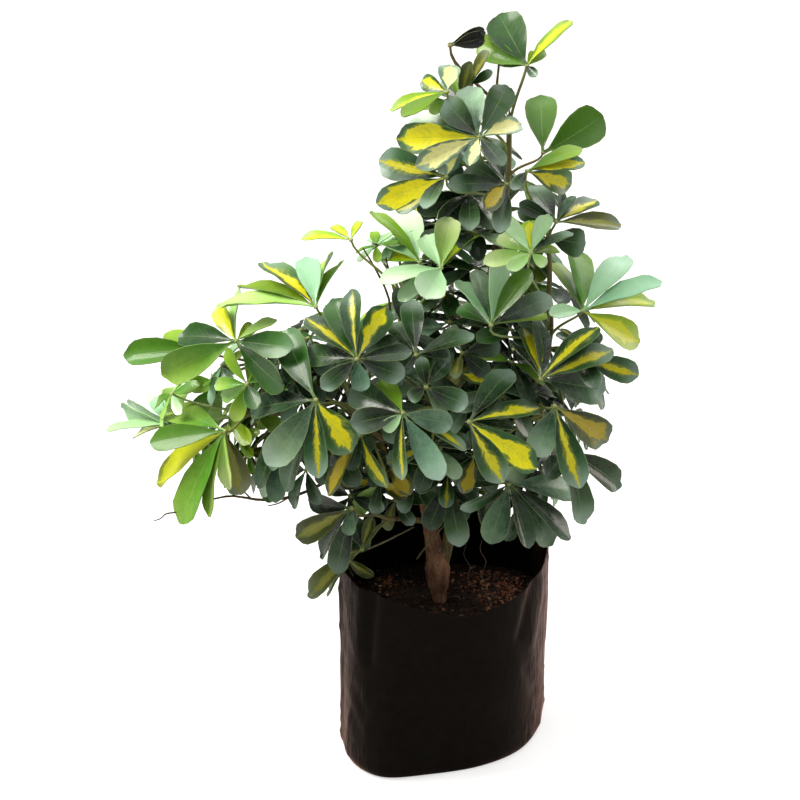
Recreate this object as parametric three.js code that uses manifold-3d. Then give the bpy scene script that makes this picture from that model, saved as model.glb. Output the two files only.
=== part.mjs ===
// Potted umbrella plant: a variegated dwarf umbrella tree in a black polythene grow bag.
//
// The plant stands upright with +Z up, seen from the front along +Y, with +X to the right. The
// origin is on the floor at the middle of the bag's foot. All lengths are millimetres.
//
// The leaves that show from the front are listed as they are seen, and the sight lines from the
// eye put them in space. The leaves inside and on the far side are given by their hubs and grow by
// rule. A leaflet that would cross another blade, stalk or branch is bent clear of it.

import * as THREE from "three";
import { mergeVertices } from "three/addons/utils/BufferGeometryUtils.js";
import Module from "manifold-3d";

const wasm = await Module();
wasm.setup();

const DEGREE = Math.PI / 180;
const TURN = 2 * Math.PI;
const GOLDEN_ANGLE = 137.508 * DEGREE;
const UP = new THREE.Vector3(0, 0, 1);

// Grow bag and soil
// Its plan passes these points, round from the left fold by the front to the right fold and back
const FOOT_PLAN = [[-104, -30], [-93, -78], [-65, -104], [-14, -98], [38, -81], [79, -49], [101, -4],
  [105, 34], [86, 70], [46, 91], [-4, 97], [-54, 88], [-90, 58], [-104, 16]];
const RIM_PLAN = [[-104, -26], [-88, -61], [-50, -83], [-4, -89], [44, -80], [84, -48], [102, -10],
  [106, 27], [88, 60], [50, 82], [2, 90], [-46, 81], [-84, 50], [-102, 10]];
const BAG_SIDES = 24;
const BAG_FOLD_HEIGHT = 201;
const BAG_FRONT_SAG = 27;
const BAG_BACK_RISE = 37;
const BAG_LIP_HEIGHT = 166;
const BAG_MOUTH_OVERRUN = 5;
const BAG_RIM_BLUNTNESS = 1.5;
const FILM = 1.5;
const FOOT_LEVELS = [[0, 0.965], [4, 0.99], [14, 1]];
const WALL_LEVELS = [84];
const SOIL_LEVEL = 154;
const SOIL_MOUND = 7;
const SOIL_RELIEF = 1.6;
const SOIL_RINGS = [0.74, 0.4];

// Gap kept between touching pieces, and between blades that pass each other
const CLEARANCE = 0.3;
const BLADE_GAP = 0.55;

// Slivers up to this size are taken out where shapes are joined
const SEAM = 0.02;

// Wood
const TRUNK_SIDES = 8;
const LIMB_SIDES = 5;
const TRUNK_FOOT = 106;
const TRUNK_HOLE_GAP = 0.45;

// Leaves
const BLADE = 0.9;
const UNDERSIDE = 1;
const HUB_RADIUS = 2.8;
const HUB_HEIGHT = 1.6;
const HUB_SIDE = 31 * DEGREE;
const HUB_SIDE_GAP = 23 * DEGREE;
const HUB_BLANK = 60 * DEGREE;
const HUB_SPREAD_ROUNDS = 40;
const STEM_SIDES = 5;
const STEM_STEPS = 4;
const STALK_SIDES = 3;
const STALK_RADIUS = 1.35;
const STALK_STEPS = 3;
const STALK_STARTS = [0.2, 0.3, 0.4, 0.5, 0.6, 0.7, 0.8, 0.9, 0.97];
const STALK_CHOICES = 3;
const STALK_LIFT = 45 * DEGREE;
const STALK_SWERVES = [0, 9, -9, 18, -18, 28, -28, 40, -40];
const STALK_LEAVE = 0.3;
const STALK_RISE = 0.18;
const STALK_ARRIVE = 0.28;
const STEM_TAPER = 0.62;
const STEM_ROOT = 4;
const TIP_SHIFTS = [0, 7, -7, 14, -14, 22, -22, 32, -32, 44, -44];
const TIP_SHRINKS = [1, 0.82, 0.66];
const BROAD = 24;
const BROAD_STATIONS = [[0.3, 0.5], [0.6, 1], [0.88, 0.72], [1, 0.2]];
const COMMON = 14;
const COMMON_STATIONS = [[0.48, 0.94], [0.85, 0.78], [1, 0.22]];
const SLIM_STATIONS = [[0.6, 1], [1, 0.4]];
const ARCH = 0.09;
const DROOP = 16 * DEGREE;
const STEEPEST = 48 * DEGREE;
const REACH = 1.08;
const LEAST_WIDTH = 0.3;
const FAR_WIDTH = 0.37;
const FAR_LENGTH_CHANGE = 0.1;
const FAR_LENGTH_BEAT = 2.4;
const FAR_DROOP = 20 * DEGREE;
const FOLIAGE_CENTRE = new THREE.Vector3(-20, 0, 330);
const FOLIAGE_RADIUS = 200;
const FACING_BIAS = new THREE.Vector3(0, -0.25, 0.55);

// The eye, and the picture plane on which leaves are listed. The plane stands at the trunk and
// is read from its upper left corner, across and down, in millimetres.
const EYE_DISTANCE = 2200;
const EYE_RISE = 20 * DEGREE;
const EYE_AIM = new THREE.Vector3(-45, 0, 371);
const PLANE_MIDDLE = 400;
const EYE_FORWARD = new THREE.Vector3(0, Math.cos(EYE_RISE), -Math.sin(EYE_RISE));
const PLANE_RIGHT = new THREE.Vector3(1, 0, 0);
const PLANE_UP = new THREE.Vector3(0, Math.sin(EYE_RISE), Math.cos(EYE_RISE));
const EYE = EYE_AIM.clone().addScaledVector(EYE_FORWARD, -EYE_DISTANCE);

const FINISH = {
  film: { color: 0x17140f, roughness: 0.42, metalness: 0 },
  soil: { color: 0x241c16, roughness: 0.95, metalness: 0 },
  bark: { color: 0x6f4f3a, roughness: 0.85, metalness: 0 },
  leaf: { color: 0x3f6f3a, roughness: 0.45, metalness: 0 },
};

// The trunk's middle and its radius there, from its foot in the soil past the bulge at the fork
const TRUNK = [[-2, -20, TRUNK_FOOT, 6], [-3, -20, 152, 6], [-5, -19, 165, 7.4], [-6, -18, 180, 11.4],
  [-7, -18, 195, 12.8], [-9, -16, 210, 9.6], [-13, -13, 234, 7.8], [-18, -9, 268, 8], [-19, -8, 298, 8.4],
  [-12, -6, 328, 7.8], [-3, -4, 352, 7]];

// Branches of the wood: the points they pass, and their radius at the two ends
const LIMBS = {
  leader: { line: [[-2, -4, 346], [20, 10, 410], [42, 16, 480], [56, 14, 560]], radii: [7, 4.2] },
  second: {
    line: [[-4, -18, 190], [3, -15, 218], [8, -6, 256], [24, 6, 296], [58, 14, 340], [84, 10, 390],
      [98, 5, 440]],
    radii: [6.4, 3.6],
  },
  left: { line: [[-18, -8, 292], [-52, -20, 330], [-110, -30, 358], [-150, -25, 364]], radii: [5.4, 3] },
  leftMiddle: { line: [[-110, -30, 358], [-150, -10, 385], [-183, -8, 408]], radii: [3, 2.6] },
  leftHigh: { line: [[-50, -20, 330], [-80, -10, 385], [-98, -5, 425]], radii: [4, 2.8] },
  frontLeft: { line: [[-18, -8, 302], [-46, -40, 335], [-75, -65, 365]], radii: [4.8, 3] },
  front: { line: [[-4, -4, 346], [-5, -40, 368], [-10, -70, 385]], radii: [4.4, 3] },
  heart: { line: [[-4, -4, 346], [-28, -4, 390], [-42, -8, 430]], radii: [4.6, 2.8] },
  right: { line: [[50, 12, 330], [76, -22, 345], [90, -55, 365]], radii: [4.4, 3] },
  rightUpright: { line: [[84, 10, 390], [96, -8, 410], [100, -16, 428]], radii: [3.6, 2.8] },
  lowRight: { line: [[9, -5, 258], [34, -18, 264], [56, -32, 282]], radii: [3.8, 2.8] },
  lowLeft: { line: [[-15, -12, 243], [-33, -22, 251], [-52, -35, 257]], radii: [3.4, 2.4] },
  backLeft: { line: [[-18, -8, 302], [-45, 30, 338], [-80, 55, 360]], radii: [4.6, 3] },
  backMiddle: { line: [[20, 10, 410], [16, 45, 430], [10, 72, 446]], radii: [4.2, 2.8] },
  backRight: { line: [[50, 12, 330], [76, 48, 345], [95, 76, 358]], radii: [4.2, 2.8] },
  backLow: { line: [[-12, -12, 232], [-10, 25, 258], [-8, 50, 274]], radii: [4, 2.8] },
};

// A leaf seen from the front: its hub across, down and in depth, then each leaflet's tip across
// and down and its width
const seenLeaf = (across, down, depth, leaflets) => ({ seen: [across, down], depth, leaflets });

// A leaf of the far side: its hub's place, how many leaflets it spreads, and how long they are
const farLeaf = (hub, count, length) => ({ hub: new THREE.Vector3(...hub), count, length });

// A leaf deep in the foliage, of which little shows from the front: its hub as seen, and the same
const innerLeaf = (across, down, depth, count, length) => (
  farLeaf(seenAt(across, down, depth).toArray(), count, length));

// Leafy shoots: the branch that each grows from, the rest of its green stem, and its leaves
const SHOOTS = {
  crown_shoot: {
    limb: "leader",
    stem: [[60, 14, 605], [60, 10, 652]],
    leaves: [
      seenLeaf(527, 66, -10, [[499, 15, 33], [478, 43, 22], [500, 55, 16], [571, 21, 10],
        [544, 50, 10], [536, 76, 8]]),
      seenLeaf(447, 92, -25, [[391, 110, 8], [403, 116, 10], [422, 80, 15], [450, 65, 19]]),
      seenLeaf(471, 85, 5, [[488, 52, 8], [467, 69, 8], [492, 72, 8]]),
      seenLeaf(479, 137, -60, [[398, 139, 26], [410, 122, 20], [438, 94, 28], [468, 87, 24],
        [507, 86, 24], [520, 123, 16], [417, 166, 19], [469, 165, 12], [503, 165, 14]]),
      seenLeaf(446, 177, -72, [[380, 160, 28], [377, 203, 22], [397, 211, 16], [425, 208, 12],
        [457, 152, 12]]),
      seenLeaf(506, 184, -55, [[449, 185, 16], [468, 163, 14], [490, 142, 20], [486, 209, 16],
        [499, 232, 16], [524, 178, 8]]),
      seenLeaf(470, 193, 30, [[418, 210, 20], [440, 224, 18], [470, 230, 18], [496, 228, 18],
        [448, 166, 18], [500, 176, 18]]),
      seenLeaf(543, 153, 0, [[541, 96, 28], [602, 116, 34]]),
      seenLeaf(450, 46, 5, [[484, 38, 14]]),
      innerLeaf(474, 232, -8, 6, 50),
      farLeaf([30, 82, 622], 7, 58),
      farLeaf([78, 74, 578], 7, 60),
      farLeaf([8, 72, 566], 7, 60),
    ],
  },
  upper_right_shoot: {
    limb: "second",
    stem: [[102, 5, 490], [100, 2, 540]],
    leaves: [
      seenLeaf(527, 171, -45, [[581, 148, 12], [584, 162, 14], [571, 184, 22], [512, 189, 10]]),
      seenLeaf(556, 222, -35, [[512, 199, 16], [518, 211, 14], [532, 186, 19], [562, 186, 8],
        [574, 196, 8], [596, 200, 14], [620, 225, 15]]),
      seenLeaf(548, 238, 10, [[585, 245, 26], [522, 258, 20], [510, 232, 20]]),
      seenLeaf(531, 253, -80, [[503, 217, 14], [529, 221, 14], [548, 215, 14], [572, 233, 8],
        [558, 250, 8], [546, 265, 10], [508, 269, 12], [484, 262, 14], [499, 236, 14]]),
      innerLeaf(520, 290, -14, 6, 50),
      farLeaf([82, 76, 518], 7, 58),
      farLeaf([122, 48, 470], 6, 50),
    ],
  },
  heart_shoot: {
    limb: "heart",
    stem: [[-45, -12, 462], [-42, -16, 488]],
    leaves: [
      seenLeaf(420, 262, -30, [[405, 212, 25], [370, 239, 12], [383, 253, 16], [371, 212, 10]]),
      seenLeaf(441, 268, -62, [[450, 218, 22], [425, 236, 18], [475, 236, 10], [380, 281, 14],
        [399, 300, 14], [424, 297, 28]]),
      seenLeaf(351, 240, -20, [[302, 238, 8], [332, 226, 8], [360, 221, 7]]),
      innerLeaf(450, 322, -18, 6, 46),
    ],
  },
  right_upright_shoot: {
    limb: "rightUpright",
    stem: [[103, -24, 452], [102, -32, 478]],
    leaves: [
      seenLeaf(583, 311, -35, [[546, 259, 14], [578, 251, 22], [627, 257, 22], [660, 281, 16],
        [653, 302, 15], [639, 342, 24], [550, 314, 12]]),
      seenLeaf(541, 379, -98, [[598, 328, 16], [612, 350, 20], [604, 389, 30], [584, 370, 12],
        [559, 388, 9], [524, 328, 16], [539, 322, 16], [513, 341, 12]]),
      seenLeaf(578, 356, -55, [[638, 375, 22], [600, 332, 14], [596, 388, 16]]),
      seenLeaf(491, 325, -88, [[459, 281, 14], [477, 270, 18], [500, 258, 18], [530, 270, 18],
        [551, 297, 20], [545, 314, 14], [459, 307, 14]]),
    ],
  },
  front_left_shoot: {
    limb: "frontLeft",
    stem: [[-90, -76, 388], [-96, -80, 412]],
    leaves: [
      seenLeaf(357, 359, -115, [[352, 290, 18], [333, 300, 24], [307, 318, 18], [304, 356, 20],
        [322, 388, 16], [362, 391, 16], [404, 376, 20], [411, 352, 14], [386, 308, 24], [370, 314, 14]]),
      seenLeaf(316, 400, -125, [[284, 331, 28], [252, 409, 22], [268, 464, 28], [290, 444, 10],
        [286, 490, 18], [318, 477, 20], [350, 452, 28]]),
      seenLeaf(361, 435, -92, [[329, 495, 12], [387, 487, 12], [350, 470, 12], [338, 428, 16]]),
      seenLeaf(380, 481, -62, [[341, 484, 12], [356, 512, 16], [373, 513, 10], [407, 497, 14]]),
      seenLeaf(290, 420, -78, [[258, 487, 15], [272, 470, 12], [300, 462, 14]]),
      innerLeaf(332, 446, -72, 6, 44),
      innerLeaf(292, 380, -66, 6, 46),
    ],
  },
  front_shoot: {
    limb: "front",
    stem: [[-13, -80, 402], [-14, -84, 420]],
    leaves: [
      seenLeaf(416, 355, -100, [[411, 300, 20], [473, 335, 14], [447, 352, 12], [392, 323, 16],
        [386, 360, 20]]),
      seenLeaf(426, 387, -122, [[467, 405, 20], [446, 412, 12], [421, 357, 12], [446, 362, 14],
        [408, 370, 10], [409, 399, 12]]),
      seenLeaf(403, 413, -138, [[350, 390, 26], [352, 424, 22], [384, 430, 12], [402, 479, 12],
        [441, 479, 22], [452, 424, 20], [382, 381, 14], [466, 449, 10]]),
      seenLeaf(462, 353, -62, [[500, 345, 18], [488, 374, 16], [455, 378, 10], [448, 328, 16]]),
      innerLeaf(384, 402, -84, 6, 46),
      innerLeaf(388, 456, -62, 6, 40),
      innerLeaf(432, 446, -92, 6, 44),
      innerLeaf(404, 330, -56, 6, 46),
      innerLeaf(476, 360, -38, 6, 48),
    ],
  },
  front_right_shoot: {
    limb: "right",
    stem: [[93, -66, 378], [92, -78, 390]],
    leaves: [
      seenLeaf(469, 422, -135, [[538, 408, 16], [536, 468, 24], [502, 482, 24], [510, 370, 22],
        [513, 424, 14]]),
      seenLeaf(555, 406, -108, [[607, 440, 28], [580, 487, 24], [536, 456, 24]]),
      seenLeaf(567, 450, -70, [[620, 486, 22], [584, 523, 20], [546, 478, 18]]),
      innerLeaf(502, 392, -82, 6, 48),
      innerLeaf(556, 436, -34, 6, 46),
      innerLeaf(512, 362, -48, 6, 44),
      innerLeaf(474, 456, -70, 6, 40),
    ],
  },
  low_right_shoot: {
    limb: "lowRight",
    stem: [[60, -42, 290], [62, -50, 298]],
    leaves: [
      seenLeaf(509, 484, -82, [[574, 492, 22], [552, 544, 24], [570, 538, 16], [529, 547, 16],
        [490, 543, 24], [452, 478, 16], [461, 509, 10]]),
      seenLeaf(447, 485, -62, [[428, 529, 19], [460, 546, 21], [476, 502, 14]]),
    ],
  },
  low_left_shoot: {
    limb: "lowLeft",
    stem: [[-70, -49, 267], [-82, -58, 270]],
    leaves: [
      seenLeaf(352, 508, -85, [[297, 537, 22], [309, 500, 18], [321, 557, 12], [336, 573, 20],
        [348, 535, 12]]),
      seenLeaf(362, 549, -68, [[309, 596, 18], [328, 594, 8], [354, 518, 16], [372, 517, 10],
        [342, 555, 8]]),
    ],
  },
  left_low_shoot: {
    limb: "left",
    stem: [[-176, -28, 367], [-192, -30, 368]],
    leaves: [
      seenLeaf(225, 431, -58, [[164, 410, 22], [151, 442, 22], [158, 482, 18], [180, 522, 24],
        [209, 516, 10], [229, 489, 11], [241, 494, 24]]),
      seenLeaf(170, 425, -12, [[148, 384, 22], [122, 406, 13], [107, 429, 8], [134, 437, 6],
        [180, 386, 24]]),
      seenLeaf(222, 385, -8, [[190, 384, 16], [196, 413, 18], [212, 424, 12]]),
    ],
  },
  left_middle_shoot: {
    limb: "leftMiddle",
    stem: [[-192, -10, 416], [-198, -12, 424]],
    leaves: [
      seenLeaf(247, 384, -64, [[226, 349, 10], [255, 350, 14], [272, 366, 16], [215, 385, 12],
        [222, 399, 12], [234, 421, 14], [256, 409, 14]]),
      seenLeaf(236, 341, -28, [[180, 336, 22], [163, 374, 30], [217, 306, 16], [238, 289, 9],
        [276, 320, 8], [292, 347, 24], [253, 325, 12], [283, 388, 20]]),
      innerLeaf(250, 408, -10, 6, 42),
      seenLeaf(205, 350, 14, [[125, 355, 24], [166, 333, 14], [204, 327, 8]]),
    ],
  },
  left_high_shoot: {
    limb: "leftHigh",
    stem: [[-104, -5, 440], [-108, -8, 452]],
    leaves: [
      seenLeaf(316, 307, -25, [[240, 286, 10], [220, 305, 11], [264, 263, 18], [306, 258, 22],
        [330, 256, 9], [341, 262, 8]]),
    ],
  },
  back_left_shoot: {
    limb: "backLeft",
    stem: [[-96, 66, 374], [-102, 70, 386]],
    leaves: [
      farLeaf([-118, 112, 376], 7, 62),
      farLeaf([-186, 62, 356], 7, 60),
      farLeaf([-56, 138, 372], 7, 60),
    ],
  },
  back_middle_shoot: {
    limb: "backMiddle",
    stem: [[8, 86, 464], [8, 92, 478]],
    leaves: [
      farLeaf([2, 146, 432], 7, 60),
      farLeaf([62, 128, 476], 7, 58),
      farLeaf([-34, 108, 444], 7, 52),
    ],
  },
  back_right_shoot: {
    limb: "backRight",
    stem: [[102, 88, 372], [104, 92, 386]],
    leaves: [
      farLeaf([116, 120, 366], 7, 56),
      farLeaf([56, 146, 350], 7, 60),
      farLeaf([122, 66, 348], 6, 50),
    ],
  },
  back_low_shoot: {
    limb: "backLow",
    stem: [[-8, 64, 284], [-8, 74, 294]],
    leaves: [
      farLeaf([-12, 116, 300], 7, 60),
      farLeaf([62, 92, 292], 7, 58),
      farLeaf([-88, 92, 292], 7, 58),
    ],
  },
};

// Solids

function fromRings(rings) {
  const sides = rings[0].length;
  const points = rings.flat();
  const triangles = [];
  for (let ring = 0; ring + 1 < rings.length; ring += 1) {
    for (let side = 0; side < sides; side += 1) {
      const next = (side + 1) % sides;
      const here = ring * sides;
      const there = here + sides;
      triangles.push([here + side, here + next, there + side], [here + next, there + next, there + side]);
    }
  }
  const last = points.length - sides;
  for (let side = 1; side + 1 < sides; side += 1) {
    triangles.push([0, side + 1, side], [last, last + side, last + side + 1]);
  }
  return { points, triangles };
}

function toGeometry({ points, triangles }) {
  const geometry = new THREE.BufferGeometry();
  geometry.setAttribute("position", new THREE.Float32BufferAttribute(points.flatMap((p) => p.toArray()), 3));
  geometry.setIndex(triangles.flat());
  return mergeVertices(geometry, 1e-4);
}

function toManifold(geometry) {
  return new wasm.Manifold(new wasm.Mesh({
    numProp: 3,
    vertProperties: new Float32Array(geometry.getAttribute("position").array),
    triVerts: new Uint32Array(geometry.getIndex().array),
  }));
}

function fromManifold(solid) {
  const mesh = solid.getMesh();
  const geometry = new THREE.BufferGeometry();
  geometry.setAttribute("position", new THREE.BufferAttribute(mesh.vertProperties, 3));
  geometry.setIndex(new THREE.BufferAttribute(mesh.triVerts, 1));
  return geometry;
}

function fuse(shapes) {
  const solids = shapes.map((shape) => toManifold(toGeometry(shape)));
  return fromManifold(solids.reduce((joined, solid) => joined.add(solid)).asOriginal().simplify(SEAM));
}

// Rings of a round bar along a line, square to it, with its radius at each fraction of the way
function barRings(curve, radiusAt, sides, steps, firstDirection) {
  const rings = [];
  let side = null;
  for (let step = 0; step <= steps; step += 1) {
    const way = step / steps;
    const centre = curve.getPoint(way);
    const along = step === 0 && firstDirection ? firstDirection : curve.getTangent(way);
    side = side ?? new THREE.Vector3(0, 1, 0).cross(along);
    side = side.clone().addScaledVector(along, -side.dot(along)).normalize();
    const other = along.clone().cross(side);
    const radius = radiusAt(way);
    rings.push(Array.from({ length: sides }, (_, corner) => {
      const angle = (TURN * corner) / sides;
      return centre.clone()
        .addScaledVector(side, radius * Math.cos(angle))
        .addScaledVector(other, radius * Math.sin(angle));
    }));
  }
  return rings;
}

function smoothLine(points) {
  return new THREE.CatmullRomCurve3(points.map((point) => new THREE.Vector3(...point)), false, "centripetal");
}

// Grow bag and soil

const planCurve = (plan) => (
  new THREE.CatmullRomCurve3(plan.map(([x, y]) => new THREE.Vector3(x, y, 0)), true, "centripetal"));
const footCurve = planCurve(FOOT_PLAN);
const rimCurve = planCurve(RIM_PLAN);

function rimHeight(way) {
  const change = way < 0.5 ? -BAG_FRONT_SAG : BAG_BACK_RISE;
  return BAG_FOLD_HEIGHT + change * (1 - Math.abs(Math.cos(TURN * way)) ** BAG_RIM_BLUNTNESS);
}

// A ring round the bag at a height, drawn in to a share of its plan and inside it by an inset
function bagRing(heightAt, share, inset) {
  return Array.from({ length: BAG_SIDES }, (_, corner) => {
    const way = corner / BAG_SIDES;
    const height = heightAt(way);
    const rise = THREE.MathUtils.smoothstep(height, 0, BAG_LIP_HEIGHT);
    const point = footCurve.getPoint(way).lerp(rimCurve.getPoint(way), rise);
    return point.multiplyScalar(share - inset / point.length()).setZ(height);
  });
}

// The bag's wall rings up to the soil's edge, at the given distance inside its outer face
function wallRings(inset, floor) {
  const top = FOOT_LEVELS[FOOT_LEVELS.length - 1][0];
  const foot = FOOT_LEVELS.map(([height, share]) => [height + floor * (1 - height / top), share]);
  const walls = [...WALL_LEVELS, SOIL_LEVEL].map((height) => [height, 1]);
  return [...foot, ...walls].map(([height, share]) => bagRing(() => height, share, inset));
}

const solidOf = (rings) => toManifold(toGeometry(fromRings(rings)));

function growBag() {
  const lip = (inset, overrun) => [
    bagRing(() => BAG_LIP_HEIGHT, 1, inset),
    bagRing((way) => rimHeight(way) + overrun, 1, inset),
  ];
  const outside = solidOf([...wallRings(0, 0), ...lip(0, 0)]);
  const inside = solidOf([...wallRings(FILM, FILM), ...lip(FILM, BAG_MOUTH_OVERRUN)]);
  return fromManifold(outside.subtract(inside));
}

function soilHeight(share, way) {
  const mound = SOIL_MOUND * (1 - share * share);
  return SOIL_LEVEL + mound + SOIL_RELIEF * Math.sin(3 * TURN * way + 4 * share);
}

function soil() {
  const inset = FILM + CLEARANCE;
  const edge = wallRings(inset, inset);
  const surface = SOIL_RINGS.map((share) => (
    bagRing((way) => soilHeight(share, way), share, inset)));
  const body = solidOf([...edge, ...surface]);
  const hole = solidOf(trunkRings(TRUNK_HOLE_GAP));
  const deeper = hole.translate([0, 0, -CLEARANCE]);
  return fromManifold(body.subtract(hole.add(deeper)).asOriginal().simplify(SEAM));
}

// Wood

function trunkRings(grow) {
  const line = smoothLine(TRUNK.map(([x, y, z]) => [x, y, z]));
  const steps = TRUNK.length - 1;
  const radiusAt = (way) => TRUNK[Math.round(way * steps)][3] + grow;
  return barRings(line, radiusAt, TRUNK_SIDES, steps);
}

function limbShape({ line, radii }) {
  return fromRings(barRings(smoothLine(line), (way) => (
    THREE.MathUtils.lerp(radii[0], radii[1], way)), LIMB_SIDES, line.length));
}

function woodShapes() {
  return [fromRings(trunkRings(0)), ...Object.values(LIMBS).map((limb) => limbShape(limb))];
}

// Sight lines

function sightLine(across, down) {
  const reach = EYE_FORWARD.clone().multiplyScalar(EYE_DISTANCE)
    .addScaledVector(PLANE_RIGHT, across - PLANE_MIDDLE)
    .addScaledVector(PLANE_UP, PLANE_MIDDLE - down);
  return new THREE.Ray(EYE.clone(), reach.normalize());
}

function seenAt(across, down, depth) {
  const sight = sightLine(across, down);
  return sight.at((depth - EYE.y) / sight.direction.y, new THREE.Vector3());
}

// Which way a leaf's dish faces: out from the middle of the foliage, and up
function facingAt(hub) {
  return hub.clone().sub(FOLIAGE_CENTRE).divideScalar(FOLIAGE_RADIUS).add(FACING_BIAS).normalize();
}

// The tip of a leaflet on its sight line, as far from the hub as the leaflet is long, on the
// side that droops best from the leaf's dish
function tipOnSight(hub, facing, sight, length) {
  const nearest = sight.closestPointToPoint(hub, new THREE.Vector3());
  const offset = nearest.distanceTo(hub);
  const slide = Math.min(Math.sqrt(Math.max(0, length ** 2 - offset ** 2)), offset * Math.tan(STEEPEST));
  const droopOf = (tip) => Math.abs(tip.clone().sub(hub).normalize().dot(facing) + Math.sin(DROOP));
  const choices = [slide, -slide, 0].map((shift) => nearest.clone().addScaledVector(sight.direction, shift));
  return choices.reduce((best, tip) => (droopOf(tip) < droopOf(best) ? tip : best));
}

// A blade's upper side, turned so that it shows the width it is seen with
function turnToShow(hub, tip, facing, width, fullWidth) {
  const along = tip.clone().sub(hub).normalize();
  const toEye = EYE.clone().sub(hub).normalize();
  const broad = toEye.clone().cross(along).normalize();
  const open = broad.clone().cross(along).negate();
  const turn = Math.acos(Math.min(1, width / fullWidth));
  const wanted = facing.clone().addScaledVector(along, -facing.dot(along)).normalize();
  const choices = [turn, -turn].map((angle) => open.clone().applyAxisAngle(along, angle));
  return choices.reduce((best, up) => (up.dot(wanted) > best.dot(wanted) ? up : best));
}

// Leaflets

function stationsFor(width) {
  if (width < COMMON) {
    return SLIM_STATIONS;
  }
  return width < BROAD ? COMMON_STATIONS : BROAD_STATIONS;
}

// A leaflet's plan: where it starts and ends, its upper side, its width and its stations
function seenLeaflets({ seen, depth, leaflets }) {
  const hub = seenAt(...seen, depth);
  const facing = facingAt(hub);
  const lengths = leaflets.map(([across, down]) => (
    sightLine(across, down).closestPointToPoint(hub, new THREE.Vector3()).distanceTo(hub)));
  const longest = Math.max(...lengths) * REACH;
  const plans = leaflets.map(([across, down, width]) => {
    const sight = sightLine(across, down);
    const tip = tipOnSight(hub, facing, sight, longest);
    return (shift, shrink) => {
      const end = tip.clone().addScaledVector(sight.direction, shift).lerp(hub, 1 - shrink);
      const fullWidth = Math.max(width, LEAST_WIDTH * end.distanceTo(hub));
      return {
        hub, end, width: fullWidth * shrink, up: turnToShow(hub, end, facing, width, fullWidth),
        stations: stationsFor(fullWidth),
      };
    };
  });
  return { hub, facing, plans };
}

function farLeaflets({ hub, count, length }, order) {
  const facing = facingAt(hub);
  const across = new THREE.Vector3(1, 0, 0).cross(facing).normalize();
  const plans = Array.from({ length: count }, (_, leaflet) => {
    const angle = GOLDEN_ANGLE * order + (TURN * leaflet) / count;
    const outward = across.clone().applyAxisAngle(facing, angle);
    const own = length * (1 + FAR_LENGTH_CHANGE * Math.sin(FAR_LENGTH_BEAT * leaflet + order));
    const tip = hub.clone().addScaledVector(outward, own * Math.cos(FAR_DROOP))
      .addScaledVector(facing, -own * Math.sin(FAR_DROOP));
    return (shift, shrink) => {
      const end = tip.clone().addScaledVector(facing, shift).lerp(hub, 1 - shrink);
      const along = end.clone().sub(hub).normalize();
      const up = facing.clone().addScaledVector(along, -facing.dot(along)).normalize();
      return { hub, end, width: own * FAR_WIDTH * shrink, up, stations: SLIM_STATIONS };
    };
  });
  return { hub, facing, plans };
}

function squareRing(centre, right, along, halfWidth, halfThick) {
  const over = right.clone().cross(along).normalize();
  return [[1, 1], [1, -1], [-1, -1], [-1, 1]].map(([aside, above]) => (
    centre.clone().addScaledVector(right, aside * halfWidth).addScaledVector(over, above * halfThick)));
}

// Four-cornered rings of a blade, from its root to its tip, with its faces moved out by grow. The
// corners go round from the upper right one, so the second side is the blade's underside.
function bladeRings({ hub, end, up, width, stations }, grow = 0) {
  const span = end.clone().sub(hub);
  const length = span.length();
  const right = span.clone().normalize().cross(up).normalize();
  const bend = hub.clone().addScaledVector(span, 0.5).addScaledVector(up, ARCH * length);
  const midrib = new THREE.QuadraticBezierCurve3(hub, bend, end);
  return stations.map(([way, share]) => {
    const along = midrib.getTangent(way);
    const centre = midrib.getPoint(way).addScaledVector(along, way === 1 ? grow : 0);
    return squareRing(centre, right, along, (width * share) / 2 + grow, BLADE / 2 + grow);
  });
}

// The blade's rings with the hub's side in front, as the other leaves have to clear it
function wholeBlade(plan, grow) {
  const along = plan.end.clone().sub(plan.hub).normalize();
  const right = along.clone().cross(plan.up).normalize();
  const side = plan.hub.clone().addScaledVector(along, HUB_RADIUS * Math.cos(HUB_SIDE));
  const halfWidth = HUB_RADIUS * Math.sin(HUB_SIDE) + grow;
  return [squareRing(side, right, along, halfWidth, HUB_HEIGHT / 2 + grow), ...bladeRings(plan, grow)];
}

// Triangles that block the way

const sightRay = new THREE.Ray();
const meeting = new THREE.Vector3();

function segmentMeets(from, to, [a, b, c]) {
  sightRay.origin.copy(from);
  sightRay.direction.subVectors(to, from);
  const reach = sightRay.direction.length();
  sightRay.direction.divideScalar(reach);
  return sightRay.intersectTriangle(a, b, c, false, meeting) !== null && meeting.distanceTo(from) <= reach;
}

function trianglesMeet(one, other) {
  return [[0, 1], [1, 2], [2, 0]].some(([from, to]) => (
    segmentMeets(one.corners[from], one.corners[to], other.corners)
    || segmentMeets(other.corners[from], other.corners[to], one.corners)));
}

function surfaceOf({ points, triangles }) {
  const faces = triangles.map((triangle) => {
    const corners = triangle.map((index) => points[index]);
    return { corners, box: new THREE.Box3().setFromPoints(corners) };
  });
  return { faces, box: new THREE.Box3().setFromPoints(points) };
}

function surfacesMeet(one, other) {
  if (!one.box.intersectsBox(other.box)) {
    return false;
  }
  const near = other.faces.filter((face) => face.box.intersectsBox(one.box));
  return one.faces.some((face) => near.some((rival) => (
    face.box.intersectsBox(rival.box) && trianglesMeet(face, rival))));
}

// Stalks

// The starts on the stem from which a stalk can leave, the one nearest to its usual lift first
function stalkStarts(stem, hub) {
  const lean = (way) => (
    Math.abs(hub.clone().sub(stem.getPoint(way)).angleTo(stem.getTangent(way)) - STALK_LIFT));
  return [...STALK_STARTS].sort((one, other) => lean(one) - lean(other));
}

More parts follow.
